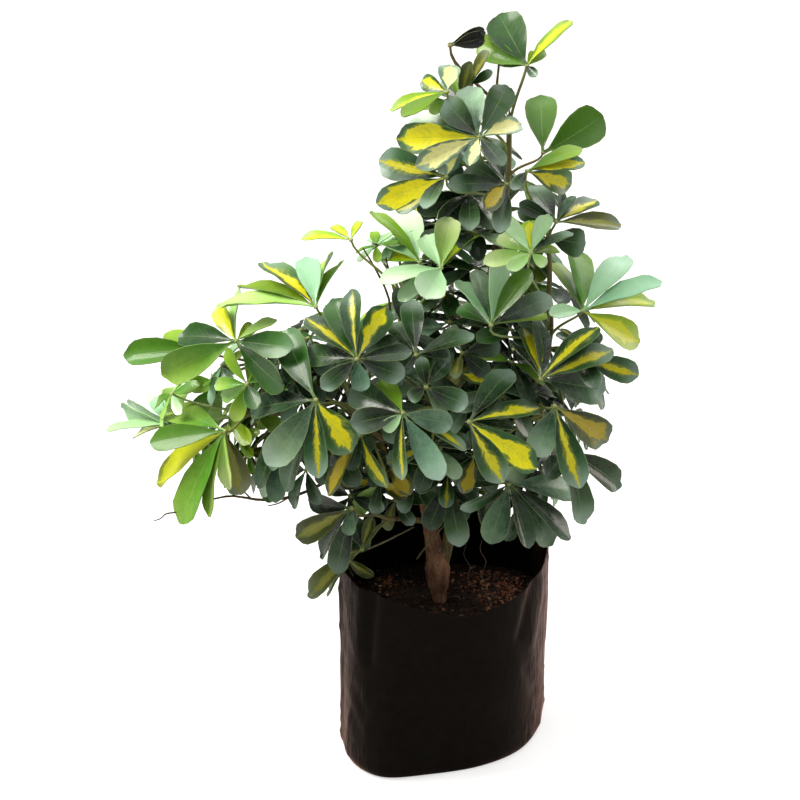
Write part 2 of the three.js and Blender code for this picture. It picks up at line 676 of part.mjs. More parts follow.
function stalkCurve(stem, hub, facing, way, swerve) {
  const start = stem.getPoint(way);
  const span = hub.clone().sub(start);
  const aside = span.clone().cross(UP).normalize().multiplyScalar(swerve);
  const rise = stem.getTangent(way).multiplyScalar(span.length() * STALK_RISE);
  const leave = start.clone().addScaledVector(span, STALK_LEAVE).add(rise).add(aside);
  const arrive = hub.clone().addScaledVector(facing, -span.length() * STALK_ARRIVE).add(aside);
  const end = hub.clone().addScaledVector(facing, -HUB_HEIGHT / 5);
  return new THREE.CubicBezierCurve3(start, leave, arrive, end);
}

function stalkShape(curve, grow = 0) {
  return fromRings(barRings(curve, () => STALK_RADIUS + grow, STALK_SIDES, STALK_STEPS));
}

// A palmate leaf: a hub whose sides run out into its leaflets, in one closed surface

// The room that a hub takes up
function hubRoom({ hub, facing }) {
  const half = facing.clone().multiplyScalar(HUB_HEIGHT / 2 + BLADE_GAP);
  const axis = new THREE.LineCurve3(hub.clone().sub(half), hub.clone().add(half));
  return fromRings(barRings(axis, () => HUB_RADIUS + BLADE_GAP, STEM_SIDES, 1));
}

function spreadAngles(angles) {
  const spread = [...angles];
  for (let round = 0; round < HUB_SPREAD_ROUNDS; round += 1) {
    spread.forEach((angle, index) => {
      const next = (index + 1) % spread.length;
      const gap = spread[next] + (next === 0 ? TURN : 0) - angle;
      if (spread.length > 1 && gap < HUB_SIDE_GAP) {
        spread[index] -= (HUB_SIDE_GAP - gap) / 2;
        spread[next] += (HUB_SIDE_GAP - gap) / 2;
      }
    });
  }
  return spread;
}

function palmateLeaf({ hub, facing, leaflets }) {
  const across = new THREE.Vector3(1, 0, 0).cross(facing).normalize();
  const over = facing.clone().cross(across);
  const sorted = leaflets.map((plan) => {
    const span = plan.end.clone().sub(hub);
    return { plan, angle: Math.atan2(span.dot(over), span.dot(across)) };
  }).sort((one, other) => one.angle - other.angle);
  const angles = spreadAngles(sorted.map(({ angle }) => angle));
  const corners = [];
  angles.forEach((angle, index) => {
    const next = index + 1 < angles.length ? angles[index + 1] : angles[0] + TURN;
    const halfGap = Math.min(HUB_SIDE, (next - angle) / 2);
    const before = index > 0 ? angles[index - 1] : angles[angles.length - 1] - TURN;
    const halfBefore = Math.min(HUB_SIDE, (angle - before) / 2);
    corners.push({ at: angle - halfBefore, leaflet: sorted[index].plan }, { at: angle + halfGap });
    const blanks = Math.ceil((next - angle - 2 * halfGap) / HUB_BLANK);
    for (let blank = 1; blank < blanks; blank += 1) {
      corners.push({ at: angle + halfGap + ((next - angle - 2 * halfGap) * blank) / blanks });
    }
  });
  const posts = corners.filter(({ at, leaflet }, index) => (
    leaflet || Math.abs(at - corners[(index + 1) % corners.length].at) > 1e-6));
  const points = posts.flatMap(({ at }) => {
    const middle = hub.clone()
      .addScaledVector(across, HUB_RADIUS * Math.cos(at))
      .addScaledVector(over, HUB_RADIUS * Math.sin(at));
    return [1, -1].map((above) => middle.clone().addScaledVector(facing, (above * HUB_HEIGHT) / 2));
  });
  const triangles = [];
  posts.forEach(({ leaflet }, post) => {
    const next = (post + 1) % posts.length;
    const [topRight, lowRight, topLeft, lowLeft] = [2 * post, 2 * post + 1, 2 * next, 2 * next + 1];
    if (post > 0 && next > 0) {
      triangles.push([0, topRight, topLeft], [1, lowLeft, lowRight]);
    }
    if (!leaflet) {
      triangles.push([topRight, lowRight, topLeft], [lowRight, lowLeft, topLeft]);
      return;
    }
    let ring = [topRight, lowRight, lowLeft, topLeft];
    bladeRings(leaflet).forEach((corner) => {
      const start = points.length;
      points.push(...corner);
      const outer = [start, start + 1, start + 2, start + 3];
      for (let side = 0; side < 4; side += 1) {
        const turn = (side + 1) % 4;
        const [near, nearNext, far, farNext] = [ring[side], ring[turn], outer[side], outer[turn]];
        if (side === UNDERSIDE) {
          triangles.push([near, nearNext, farNext], [near, farNext, far]);
        } else {
          triangles.push([near, nearNext, far], [nearNext, farNext, far]);
        }
      }
      ring = outer;
    });
    triangles.push([ring[0], ring[1], ring[2]], [ring[0], ring[2], ring[3]]);
  });
  return { points, triangles };
}

// Shoots

function shootStem({ limb, stem }) {
  const wood = smoothLine(LIMBS[limb].line);
  const direction = wood.getTangent(1);
  const start = wood.getPoint(1).addScaledVector(direction, CLEARANCE);
  const second = start.clone().addScaledVector(direction, STEM_ROOT);
  const curve = new THREE.CatmullRomCurve3(
    [start, second, ...stem.map((point) => new THREE.Vector3(...point))], false, "centripetal");
  const radius = LIMBS[limb].radii[1];
  const radiusAt = (way) => radius * THREE.MathUtils.lerp(1, STEM_TAPER, way);
  const shape = fromRings(barRings(curve, radiusAt, STEM_SIDES, STEM_STEPS, direction));
  return { curve, shape };
}

// Every leaf of every shoot, its stalk and leaflets bent clear of what was placed before them
function growShoots(fixed) {
  const blocks = fixed.map((shape) => ({ shoot: null, surface: surfaceOf(shape) }));
  const shoots = Object.entries(SHOOTS).map(([name, shoot]) => ({ name, ...shoot, ...shootStem(shoot) }));
  shoots.forEach(({ name, shape }) => blocks.push({ shoot: name, surface: surfaceOf(shape) }));
  const leaves = shoots.flatMap((shoot) => shoot.leaves.map((leaf, order) => {
    const plan = leaf.seen ? seenLeaflets(leaf) : farLeaflets(leaf, order);
    return { shoot: shoot.name, stem: shoot.curve, far: !leaf.seen, ...plan };
  }));
  leaves.forEach((leaf) => {
    blocks.push({ shoot: leaf.shoot, surface: surfaceOf(hubRoom(leaf)), rootOf: leaf });
  });
  leaves.forEach((leaf) => {
    const tries = stalkStarts(leaf.stem, leaf.hub).slice(0, STALK_CHOICES).flatMap((way) => (
      STALK_SWERVES.map((swerve) => stalkCurve(leaf.stem, leaf.hub, leaf.facing, way, swerve))));
    const clear = tries.find((curve) => {
      const room = surfaceOf(stalkShape(curve, BLADE_GAP));
      return !blocks.some(({ shoot, surface }) => shoot !== leaf.shoot && surfacesMeet(room, surface));
    });
    leaf.stalk = stalkShape(clear ?? tries[0]);
    blocks.push({ shoot: leaf.shoot, surface: surfaceOf(leaf.stalk), rootOf: leaf });
  });
  const inOrder = [...leaves.filter(({ far }) => !far), ...leaves.filter(({ far }) => far)];
  inOrder.forEach((leaf) => {
    leaf.leaflets = [];
    leaf.plans.forEach((plan) => {
      const tries = TIP_SHRINKS.flatMap((shrink) => TIP_SHIFTS.map((shift) => plan(shift, shrink)));
      const clear = tries.find((choice) => {
        const room = surfaceOf(fromRings(wholeBlade(choice, BLADE / 2 + BLADE_GAP)));
        const outerRoom = surfaceOf(fromRings(bladeRings(choice, BLADE / 2 + BLADE_GAP)));
        return !blocks.some(({ surface, outer, leafletOf, rootOf }) => {
          if (rootOf === leaf) {
            return false;
          }
          return leafletOf === leaf ? surfacesMeet(outerRoom, outer) : surfacesMeet(room, surface);
        });
      });
      if (clear) {
        const surface = surfaceOf(fromRings(wholeBlade(clear, 0)));
        const outer = surfaceOf(fromRings(bladeRings(clear)));
        blocks.push({ shoot: leaf.shoot, surface, outer, leafletOf: leaf });
        leaf.leaflets.push(clear);
      }
    });
  });
  return shoots.map(({ name, shape }) => {
    const own = leaves.filter(({ shoot, leaflets }) => shoot === name && leaflets.length > 0);
    return { name, geometry: fuse([shape, ...own.flatMap((leaf) => [leaf.stalk, palmateLeaf(leaf)])]) };
  });
}

// Assembly

const plant = new THREE.Group();

function place(name, geometry, finish) {
  const mesh = new THREE.Mesh(geometry, new THREE.MeshStandardMaterial(finish));
  mesh.name = name;
  plant.add(mesh);
}

function shapeOf(geometry) {
  const positions = geometry.getAttribute("position");
  const index = Array.from(geometry.getIndex().array);
  return {
    points: Array.from({ length: positions.count }, (_, at) => (
      new THREE.Vector3().fromBufferAttribute(positions, at))),
    triangles: Array.from({ length: index.length / 3 }, (_, at) => index.slice(3 * at, 3 * at + 3)),
  };
}

const bag = growBag();
const earth = soil();
const wood = woodShapes();

place("grow_bag", bag, FINISH.film);
place("potting_soil", earth, FINISH.soil);
place("woody_trunk", fuse(wood), FINISH.bark);
growShoots([shapeOf(bag), shapeOf(earth), ...wood]).forEach(({ name, geometry }) => {
  place(name, geometry, FINISH.leaf);
});

export default plant;
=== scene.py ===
"""Potted umbrella plant in a black grow bag: its looks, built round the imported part.

The plant stands upright with +Z up, seen from the front along +Y. Lengths are millimetres while
a piece is made, and its mesh is scaled to metres when it is finished. The leaves stand where the
part's leaves stand: each leaf is laid out as the part lays it out, and of the ways in which a
leaflet may bend, the one that lies on the part's own solid is taken.
"""

import logging
import math
import random
from collections.abc import Callable, Iterable, Sequence
from dataclasses import dataclass
from enum import Enum
from functools import cache, cached_property, reduce
from operator import mul

import bmesh
import bpy
from mathutils import Matrix, Vector, geometry, noise
from mathutils.bvhtree import BVHTree


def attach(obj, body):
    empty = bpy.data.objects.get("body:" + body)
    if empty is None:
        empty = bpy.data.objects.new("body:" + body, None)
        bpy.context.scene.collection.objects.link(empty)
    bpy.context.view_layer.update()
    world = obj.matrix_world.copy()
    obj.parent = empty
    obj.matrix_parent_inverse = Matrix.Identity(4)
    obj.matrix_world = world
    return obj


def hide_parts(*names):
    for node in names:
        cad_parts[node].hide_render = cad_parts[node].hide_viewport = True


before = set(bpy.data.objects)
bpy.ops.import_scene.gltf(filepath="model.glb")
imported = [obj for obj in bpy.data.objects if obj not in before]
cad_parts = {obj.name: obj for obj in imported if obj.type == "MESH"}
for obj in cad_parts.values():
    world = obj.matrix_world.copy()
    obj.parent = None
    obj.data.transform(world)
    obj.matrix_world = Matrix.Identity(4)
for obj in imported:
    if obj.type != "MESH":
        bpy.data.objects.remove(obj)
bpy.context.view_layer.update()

LOG = logging.getLogger("umbrella_plant")
BODY = "root"
MM = 0.001
TURN = math.tau
GOLDEN_ANGLE = math.radians(137.508)
UP = Vector((0, 0, 1))

Colour = tuple[float, float, float, float]
Flat = tuple[float, float]
Point = tuple[float, float, float]
Mesh = bmesh.types.BMesh
Material = bpy.types.Material
Tree = bpy.types.NodeTree
Vert = bmesh.types.BMVert
Placer = Callable[[Vector], Vector]


# Small helpers


def light_of(screen: int, alpha: float = 1.0) -> Colour:
    """Turn a colour as a screen shows it into linear light.

    Args:
        screen: The colour as 0xRRGGBB.
        alpha: The fourth value, kept as it is.

    Returns:
        Red, green, blue and alpha.
    """
    parts = [((screen >> shift) & 255) / 255 for shift in (16, 8, 0)]
    red, green, blue = (
        part / 12.92 if part <= 0.04045 else ((part + 0.055) / 1.055) ** 2.4 for part in parts
    )
    return red, green, blue, alpha


def blend_of(one: Sequence[float], other: Sequence[float], share: float) -> tuple[float, ...]:
    """Mix two rows of numbers, by how far to go from one to the other."""
    return tuple(a + (b - a) * share for a, b in zip(one, other))


def smooth_step(value: float, low: float, high: float) -> float:
    """Rise smoothly from 0 at low to 1 at high."""
    way = min(1.0, max(0.0, (value - low) / (high - low)))
    return way * way * (3 - 2 * way)


def through(rows: Sequence[Flat], way: float) -> float:
    """Read a table of ways and values, with smooth steps between its rows.

    Args:
        rows: Way and value, in order.
        way: Where to read.

    Returns:
        The value there.
    """
    for (start, low), (end, high) in zip(rows, rows[1:]):
        if way <= end:
            return low + (high - low) * smooth_step(way, start, end)
    return rows[-1][1]


def relief(point: Vector, size: float) -> float:
    """Read a smooth, fixed bumpiness of about -1 to 1, with bumps of a given size."""
    return noise.noise(point / size)


def layered(point: Vector, layers: Iterable[Flat]) -> float:
    """Add reliefs up, each given by the size of its bumps and its height."""
    return sum(relief(point, size) * height for size, height in layers)


def drawn_from(spread: Flat, luck: float) -> float:
    """Read a spread, its least value and what a draw from 0 to 1 can add to it."""
    return spread[0] + spread[1] * luck


def hill(distance: float, reach: float) -> float:
    """Fall from 1 at distance 0 to nothing beyond about twice the reach."""
    return math.exp(-((distance / reach) ** 2))


def upright_turn(direction: Vector) -> Matrix:
    """Find the turn that takes +Z to a direction."""
    return direction.to_track_quat("Z", "X").to_matrix()


def round_way(x: float, y: float) -> float:
    """Find a place's way round the bag: 0 at the left fold, a quarter at the front."""
    return (math.atan2(-y, -x) / TURN) % 1


class SmoothLine:
    """A centripetal Catmull-Rom curve through points."""

    STEP = 0.001
    LEAST_GAP = 1e-4

    def __init__(self, points: Iterable[Sequence[float]], closed: bool = False) -> None:
        """Keep the points that the curve passes, and whether it comes back to its start."""
        self.points = [Vector(point) for point in points]
        self.closed = closed

    def at(self, way: float) -> Vector:
        """Find the point at a share of the curve.

        Args:
            way: From 0 at the start to 1 at the end.

        Returns:
            The point.
        """
        points, count = self.points, len(self.points)
        spot = (count if self.closed else count - 1) * way
        index = math.floor(spot)
        weight = spot - index
        if not self.closed and index >= count - 1:
            index, weight = count - 2, 1.0
        first, second = points[index % count], points[(index + 1) % count]
        before, after = points[(index - 1) % count], points[(index + 2) % count]
        if not self.closed and index == 0:
            before = 2 * points[0] - points[1]
        if not self.closed and index + 2 >= count:
            after = 2 * points[-1] - points[-2]
        gap = max((second - first).length ** 0.5, self.LEAST_GAP)
        gap_before = (first - before).length ** 0.5
        gap_after = (after - second).length ** 0.5
        gap_before = gap if gap_before < self.LEAST_GAP else gap_before
        gap_after = gap if gap_after < self.LEAST_GAP else gap_after
        leave = gap * ((first - before) / gap_before - (second - before) / (gap_before + gap)
                       + (second - first) / gap)
        arrive = gap * ((second - first) / gap - (after - first) / (gap + gap_after)
                        + (after - second) / gap_after)
        square, cube = weight * weight, weight ** 3
        return (first + leave * weight
                + (3 * (second - first) - 2 * leave - arrive) * square
                + (2 * (first - second) + leave + arrive) * cube)

    def heading(self, way: float) -> Vector:
        """Find the curve's direction at a share of it."""
        return (self.at(min(1.0, way + self.STEP)) - self.at(max(0.0, way - self.STEP))).normalized()


class BezierLine(SmoothLine):
    """A Bezier curve by its three or four control points."""

    def at(self, way: float) -> Vector:
        """Find the point at a share of the curve.

        Args:
            way: From 0 at the start to 1 at the end.

        Returns:
            The point.
        """
        points = self.points
        while len(points) > 1:
            points = [one.lerp(other, way) for one, other in zip(points, points[1:])]
        return points[0]


def bar_frames(
    line: SmoothLine, radius_at: Callable[[float], float], steps: int, first: Vector | None = None
) -> list[Matrix]:
    """Find the places of a round bar's rings along a line.

    Args:
        line: The bar's middle.
        radius_at: The bar's radius at a share of the line.
        steps: How many lengths the bar is cut into.
        first: The direction of the first ring, where it isn't the line's own.

    Returns:
        A matrix for each ring, which takes a unit circle to it.
    """
    frames: list[Matrix] = []
    side: Vector | None = None
    for step in range(steps + 1):
        way = step / steps
        along = first if step == 0 and first else line.heading(way)
        if side is None:
            side = Vector((0, 1, 0)).cross(along)
        side = (side - along * side.dot(along)).normalized()
        other = along.cross(side)
        radius = radius_at(way)
        columns = Matrix((side * radius, other * radius, along)).transposed()
        frames.append(Matrix.Translation(line.at(way)) @ columns.to_4x4())
    return frames


class Template:
    """A shape made once, and laid into a mesh as often as it is needed."""

    def __init__(self, build: Callable[[Mesh], None]) -> None:
        """Make the shape.

        Args:
            build: What makes it in an empty mesh.
        """
        shape = bmesh.new()
        build(shape)
        self.data = bpy.data.meshes.new("template")
        shape.to_mesh(self.data)
        shape.free()

    def lay(self, mesh: Mesh, place: Placer) -> list[Vert]:
        """Lay the shape into a mesh.

        Args:
            mesh: The mesh that gets it.
            place: Where each of its points goes.

        Returns:
            The new vertices.
        """
        before = len(mesh.verts)
        mesh.from_mesh(self.data)
        mesh.verts.ensure_lookup_table()
        made = mesh.verts[before:]
        for vert in made:
            vert.co = place(vert.co.copy())
        return made


def bar_template(sides: int, steps: int) -> Template:
    """Make a closed unit bar whose rings stand at heights 0, 1, 2 and so on.

    Args:
        sides: How many sides it has.
        steps: How many lengths it has.

    Returns:
        The bar.
    """

    def build(shape: Mesh) -> None:
        """Draw the bar up from a disc, length by length.

        Args:
            shape: The empty mesh that gets it.
        """
        ring = bmesh.ops.create_circle(shape, cap_ends=True, segments=sides, radius=1.0)
        face = ring["verts"][0].link_faces[0]
        for step in range(steps):
            grown = bmesh.ops.extrude_face_region(shape, geom=[face])
            if step > 0:
                bmesh.ops.delete(shape, geom=[face], context="FACES_ONLY")
            face = next(part for part in grown["geom"] if isinstance(part, bmesh.types.BMFace))
            bmesh.ops.translate(shape, vec=UP, verts=face.verts)
        bmesh.ops.recalc_face_normals(shape, faces=shape.faces)

    return Template(build)


def on_ring(frames: Sequence[Matrix], point: Vector) -> Vector:
    """Find where a point of a unit bar goes, by its ring's place."""
    return frames[round(point.z)] @ Vector((point.x, point.y, 0))


def lay_bar(mesh: Mesh, template: Template, frames: Sequence[Matrix]) -> list[Vert]:
    """Lay a bar along its rings' places and give its vertices."""
    return template.lay(mesh, lambda point: on_ring(frames, point))


def crease_rims(mesh: Mesh, angle: float = 1.0) -> None:
    """Shade a mesh smooth but for its sharp edges.

    Args:
        mesh: The mesh.
        angle: Edges that turn by more than this stay sharp.
    """
    for face in mesh.faces:
        face.smooth = True
    for edge in mesh.edges:
        edge.smooth = edge.calc_face_angle(0.0) < angle


def finished(name: str, mesh: Mesh, material: Material, slot: str, *replaces: str) -> None:
    """Turn a mesh into a piece of the plant.

    Args:
        name: The piece's name.
        mesh: Its mesh in millimetres, which is used up.
        material: Its material.
        slot: The part's material slot; it is not used.
        replaces: The part's nodes that it stands for.
    """
    bmesh.ops.scale(mesh, vec=(MM, MM, MM), verts=mesh.verts)
    data = bpy.data.meshes.new(name)
    mesh.to_mesh(data)
    mesh.free()
    data.materials.append(material)
    piece = bpy.data.objects.new(name, data)
    bpy.context.scene.collection.objects.link(piece)
    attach(piece, BODY)
    if replaces:
        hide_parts(*replaces)
    LOG.info("%s: %d faces", name, len(data.polygons))


# The eye


@dataclass(frozen=True)
class Eye:
    """Where the plant is seen from, and the picture plane on which its leaves are listed.

    The plane stands at the trunk and is read across and down from its upper left corner.
    """

    distance: float = 2200.0
    rise: float = math.radians(20)
    aim: Point = (-45.0, 0.0, 371.0)
    plane_middle: float = 400.0
    sensor: float = 36.0

    @property
    def forward(self) -> Vector:
        """The direction of view."""
        return Vector((0, math.cos(self.rise), -math.sin(self.rise)))

    @property
    def up(self) -> Vector:
        """The picture's way up."""
        return Vector((0, math.sin(self.rise), math.cos(self.rise)))

    @property
    def place(self) -> Vector:
        """Where the eye is."""
        return Vector(self.aim) - self.forward * self.distance

    def sight(self, across: float, down: float) -> Vector:
        """Find the direction in which a point of the picture plane is seen."""
        aside = Vector((across - self.plane_middle, 0, 0))
        return (self.forward * self.distance + aside + self.up * (self.plane_middle - down)).normalized()

    def seen_at(self, across: float, down: float, depth: float) -> Vector:
        """Find the point that is seen at a place of the picture plane, at a depth, its Y."""
        sight = self.sight(across, down)
        return self.place + sight * ((depth - self.place.y) / sight.y)

    def nearest(self, sight: Vector, point: Vector) -> Vector:
        """Find the point of a sight line that is nearest to a point."""
        return self.place + sight * (point - self.place).dot(sight)

    def add_camera(self) -> None:
        """Put the camera at the eye."""
        data = bpy.data.cameras.new("eye")
        data.sensor_width = self.sensor
        data.lens = self.sensor * self.distance / (2 * self.plane_middle)
        camera = bpy.data.objects.new("eye", data)
        camera.location = self.place * MM
        camera.rotation_euler = (math.pi / 2 - self.rise, 0, 0)
        bpy.context.scene.collection.objects.link(camera)
        bpy.context.scene.camera = camera


EYE = Eye()


# Leaf tones


@dataclass(frozen=True)
class Tone:
    """How a leaflet is coloured: its green, the green it flushes to, its patch and its gloss."""

    green: int
    # flush: the lighter green towards the tip, partly the leaflet's own tone and partly painted sheen
    flush: int
    patch: int = 0xC9C93A
    reach: float = 0.0
    # gloss sets the roughness and also how strong the painted tip highlight is
    gloss: float = 0.6
    wave: float = 1.0
    stalk: int = 0x6F7F3A


class LeafTone(Enum):
    """The leaflets' tones."""

    D = Tone(0x0A180A, 0x42693A, gloss=0.95)
    G = Tone(0x2A4C32, 0x98BC94, gloss=1.0)
    N = Tone(0x103C02, 0x3A7412, gloss=0.35)
    M = Tone(0x4C8A14, 0xA6C848, gloss=0.25, stalk=0x8A9A4A)
    E = Tone(0x649004, 0x94B808, gloss=0.25, stalk=0x8A9A4A)
    Q = Tone(0x8EC054, 0xCAE69A, gloss=0.3, wave=1.4, stalk=0x9DB56A)
    P = Tone(0x9ACE94, 0xCEF0C8, gloss=0.3, wave=1.2, stalk=0x9DB56A)
    L = Tone(0x88B610, 0xAECE18, patch=0xDCE01C, reach=0.45, wave=1.4, stalk=0x9DB04A)
    K = Tone(0x74860C, 0x98A610, patch=0xC4CA10, reach=1.2)
    Y = Tone(0x173812, 0x4A7A34, patch=0xE0D614, reach=0.42)
    V = Tone(0x1A4A1C, 0x54864A, patch=0xF4EA1A, reach=0.76)
    S = Tone(0x122E14, 0x46703E, patch=0xC8BE18, reach=0.22, gloss=0.85)
    A = Tone(0x2E3916, 0x555F2A, patch=0xB8A424, reach=0.6)
    W = Tone(0x44705A, 0x8AAC8A, patch=0xF4F09C, reach=0.6)
    O = Tone(0x3C4618, 0x666F2C, patch=0x8A8A34, reach=0.3)
    F = Tone(0x3E6C06, 0x4C7C0C, gloss=0.1, wave=0.4, stalk=0x8A7A3A)
    B = Tone(0x0E0A08, 0x1A1412, gloss=0.2, wave=3.0, stalk=0x5A4630)


# Leaves, laid out as the part lays them out

BLADE = 0.9
HUB_RADIUS = 2.8
HUB_HEIGHT = 1.6
STALK_RADIUS = 1.35
STALK_STARTS = (0.2, 0.3, 0.4, 0.5, 0.6, 0.7, 0.8, 0.9, 0.97)
STALK_CHOICES = 3
STALK_LIFT = math.radians(45)
STALK_SWERVES = (0, 9, -9, 18, -18, 28, -28, 40, -40)
STALK_LEAVE = 0.3
STALK_RISE = 0.18
STALK_ARRIVE = 0.28
STALK_SINK = HUB_HEIGHT / 5
THIRDS = (1 / 3, 2 / 3)
STEM_TAPER = 0.62
STEM_ROOT = 4.0
STEM_GAP = 0.3
TIP_SHIFTS = (0, 7, -7, 14, -14, 22, -22, 32, -32, 44, -44)
TIP_SHRINKS = (1, 0.82, 0.66)
SLIM_STATIONS = ((0.6, 1), (1, 0.4))
STATIONS_FROM_WIDTH = (
    (24, ((0.3, 0.5), (0.6, 1), (0.88, 0.72), (1, 0.2))),
    (14, ((0.48, 0.94), (0.85, 0.78), (1, 0.22))),
    (0, SLIM_STATIONS),
)
ARCH = 0.09
DROOP = math.radians(16)
STEEPEST = math.radians(48)
REACH = 1.08
LEAST_WIDTH = 0.3
FAR_WIDTH = 0.37
FAR_LENGTH_CHANGE = 0.1
FAR_LENGTH_BEAT = 2.4
FAR_DROOP = math.radians(20)
FOLIAGE_CENTRE = Vector((-20, 0, 330))
FOLIAGE_RADIUS = 200.0
FACING_BIAS = Vector((0, -0.25, 0.55))


def turned(direction: Vector, axis: Vector, angle: float) -> Vector:
    """Turn a direction about an axis."""
    return Matrix.Rotation(angle, 3, axis) @ direction


def squared(direction: Vector, along: Vector) -> Vector:
    """Take out of a direction what runs along another."""
    return (direction - along * direction.dot(along)).normalized()


@dataclass(frozen=True)
class Blade:
    """A leaflet's plan: where it starts and ends, its upper side and its width."""

    hub: Vector
    end: Vector
    up: Vector
    width: float
    stations: tuple[Flat, ...]

    @property
    def midrib(self) -> BezierLine:
        """The arched line of the leaflet's midrib."""
        span = self.end - self.hub
        bend = self.hub + span * 0.5 + self.up * (ARCH * span.length)
        return BezierLine((self.hub, bend, self.end))

    @property
    def right(self) -> Vector:
        """The direction from the midrib to the right margin."""
        return (self.end - self.hub).normalized().cross(self.up).normalized()

    def corners(self) -> Iterable[Vector]:
        """Give the corners that the part's solid leaflet has, from its tip back."""
        midrib, right = self.midrib, self.right
        for way, share in reversed(self.stations):
            over = right.cross(midrib.heading(way)).normalized()
            for aside in (1, -1):
                yield midrib.at(way) + right * (aside * self.width * share / 2) + over * (BLADE / 2)


class Solid:
    """One of the part's solids, which tells how far points lie from it."""

    def __init__(self, node: str) -> None:
        """Read the solid of a node."""
        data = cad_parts[node].data
        self.tree = BVHTree.FromPolygons(
            [vert.co for vert in data.vertices], [tuple(face.vertices) for face in data.polygons])

    def distance(self, point: Vector) -> float:
        """Find how far a point is from the solid's surface, in millimetres."""
        return self.tree.find_nearest(point * MM)[3] / MM

    def best(self, choices: Iterable, near_enough: float, reading: Callable) -> tuple:
        """Find the choice that lies on the solid.

        Args:
            choices: What to choose from, the likeliest first.
            near_enough: A choice this close is taken at once.
            reading: Gives the distances that should be 0 for a choice.

        Returns:
            The choice and how far it is off.
        """
        found, least = None, math.inf
        for choice in choices:
            worst = max(reading(choice))
            if worst < least:
                found, least = choice, worst
            if least < near_enough:
                break
        return found, least


@dataclass(frozen=True)
class Leaf:
    """A palmate leaf: its leaflets' tones, and the hub where they meet."""

    tones: str
    hub: Vector

    @property
    def facing(self) -> Vector:
        """The way its dish faces: out from the middle of the foliage, and up."""
        return ((self.hub - FOLIAGE_CENTRE) / FOLIAGE_RADIUS + FACING_BIAS).normalized()

    @property
    def leaflets(self) -> int:
        """How many leaflets it has."""
        raise NotImplementedError

    def blade(self, order: int, leaflet: int, shift: float, shrink: float) -> Blade:
        """Lay a leaflet out, by the leaf's place in its shoot and the tip's shift and shrink."""
        raise NotImplementedError

    def blades(self, order: int, leaflet: int) -> Iterable[Blade]:
        """Give the ways in which a leaflet may bend, the likeliest first."""
        return (self.blade(order, leaflet, shift, shrink) for shrink in TIP_SHRINKS for shift in TIP_SHIFTS)

    def tone_of(self, leaflet: int) -> Tone:
        """Find a leaflet's tone."""
        return LeafTone[self.tones[leaflet % len(self.tones)]].value


@dataclass(frozen=True)
class SeenLeaf(Leaf):
    """A leaf that shows from the front, with each leaflet's tip and width as they are seen."""

    tips: tuple[Point, ...]

    @property
    def leaflets(self) -> int:
        """How many leaflets it has."""
        return len(self.tips)

    @cached_property
    def sights(self) -> list[Vector]:
        """The sight lines of the leaflets' tips."""
        return [EYE.sight(across, down) for across, down, _ in self.tips]

    @cached_property
    def length(self) -> float:
        """How far from the hub the tips lie."""
        return max((EYE.nearest(sight, self.hub) - self.hub).length for sight in self.sights) * REACH

    def tip_on(self, sight: Vector) -> Vector:
        """Find a leaflet's tip on its sight line.

        Args:
            sight: The line's direction.

        Returns:
            The tip, on the side that droops best from the leaf's dish.
        """
        near = EYE.nearest(sight, self.hub)
        offset = (near - self.hub).length
        slide = min(math.sqrt(max(0.0, self.length ** 2 - offset ** 2)), offset * math.tan(STEEPEST))
        return min((near + sight * shift for shift in (slide, -slide, 0)), key=lambda tip: abs(
            (tip - self.hub).normalized().dot(self.facing) + math.sin(DROOP)))

    def side_to_show(self, tip: Vector, width: float, full_width: float) -> Vector:
        """Turn a blade so that it shows the width it is seen with.

        Args:
            tip: The leaflet's tip.
            width: The width seen.
            full_width: Its own width.

        Returns:
            The direction of its upper side.
        """
        along = (tip - self.hub).normalized()
        broad = (EYE.place - self.hub).normalized().cross(along).normalized()
        turn = math.acos(min(1.0, width / full_width))
        wanted = squared(self.facing, along)
        return max((turned(-broad.cross(along), along, angle) for angle in (turn, -turn)), key=wanted.dot)

    def blade(self, order: int, leaflet: int, shift: float, shrink: float) -> Blade:
        """Lay a leaflet out.

        Args:
            order: The leaf's place in its shoot's list.
            leaflet: Which leaflet.
            shift: How far its tip is moved along its sight line.
            shrink: The share of its length and width that is left.

        Returns:
            The leaflet's plan.
        """
        sight, width = self.sights[leaflet], self.tips[leaflet][2]
        end = (self.tip_on(sight) + sight * shift).lerp(self.hub, 1 - shrink)
        full = max(width, LEAST_WIDTH * (end - self.hub).length)
        stations = next(rows for least, rows in STATIONS_FROM_WIDTH if full >= least)
        return Blade(self.hub, end, self.side_to_show(end, width, full), full * shrink, stations)


@dataclass(frozen=True)
class FarLeaf(Leaf):
    """A leaf of the far side or deep in the foliage, which grows by rule."""

    count: int
    length: float

    @property
    def leaflets(self) -> int:
        """How many leaflets it has."""
        return self.count

    def blade(self, order: int, leaflet: int, shift: float, shrink: float) -> Blade:
        """Lay a leaflet out.

        Args:
            order: The leaf's place in its shoot's list.
            leaflet: Which leaflet.
            shift: How far its tip is moved up from the leaf's dish.
            shrink: The share of its length and width that is left.

        Returns:
            The leaflet's plan.
        """
        across = Vector((1, 0, 0)).cross(self.facing).normalized()
        outward = turned(across, self.facing, GOLDEN_ANGLE * order + TURN * leaflet / self.count)
        own = self.length * (1 + FAR_LENGTH_CHANGE * math.sin(FAR_LENGTH_BEAT * leaflet + order))
        tip = self.hub + outward * (own * math.cos(FAR_DROOP)) - self.facing * (own * math.sin(FAR_DROOP))
        end = (tip + self.facing * shift).lerp(self.hub, 1 - shrink)
        up = squared(self.facing, (end - self.hub).normalized())
        return Blade(self.hub, end, up, own * FAR_WIDTH * shrink, SLIM_STATIONS)


def seen(across: float, down: float, depth: float, tones: str, *tips: Point) -> SeenLeaf:
    """Write a seen leaf in short: its hub, its leaflets' tones, then each tip and width."""
    return SeenLeaf(tones, EYE.seen_at(across, down, depth), tips)


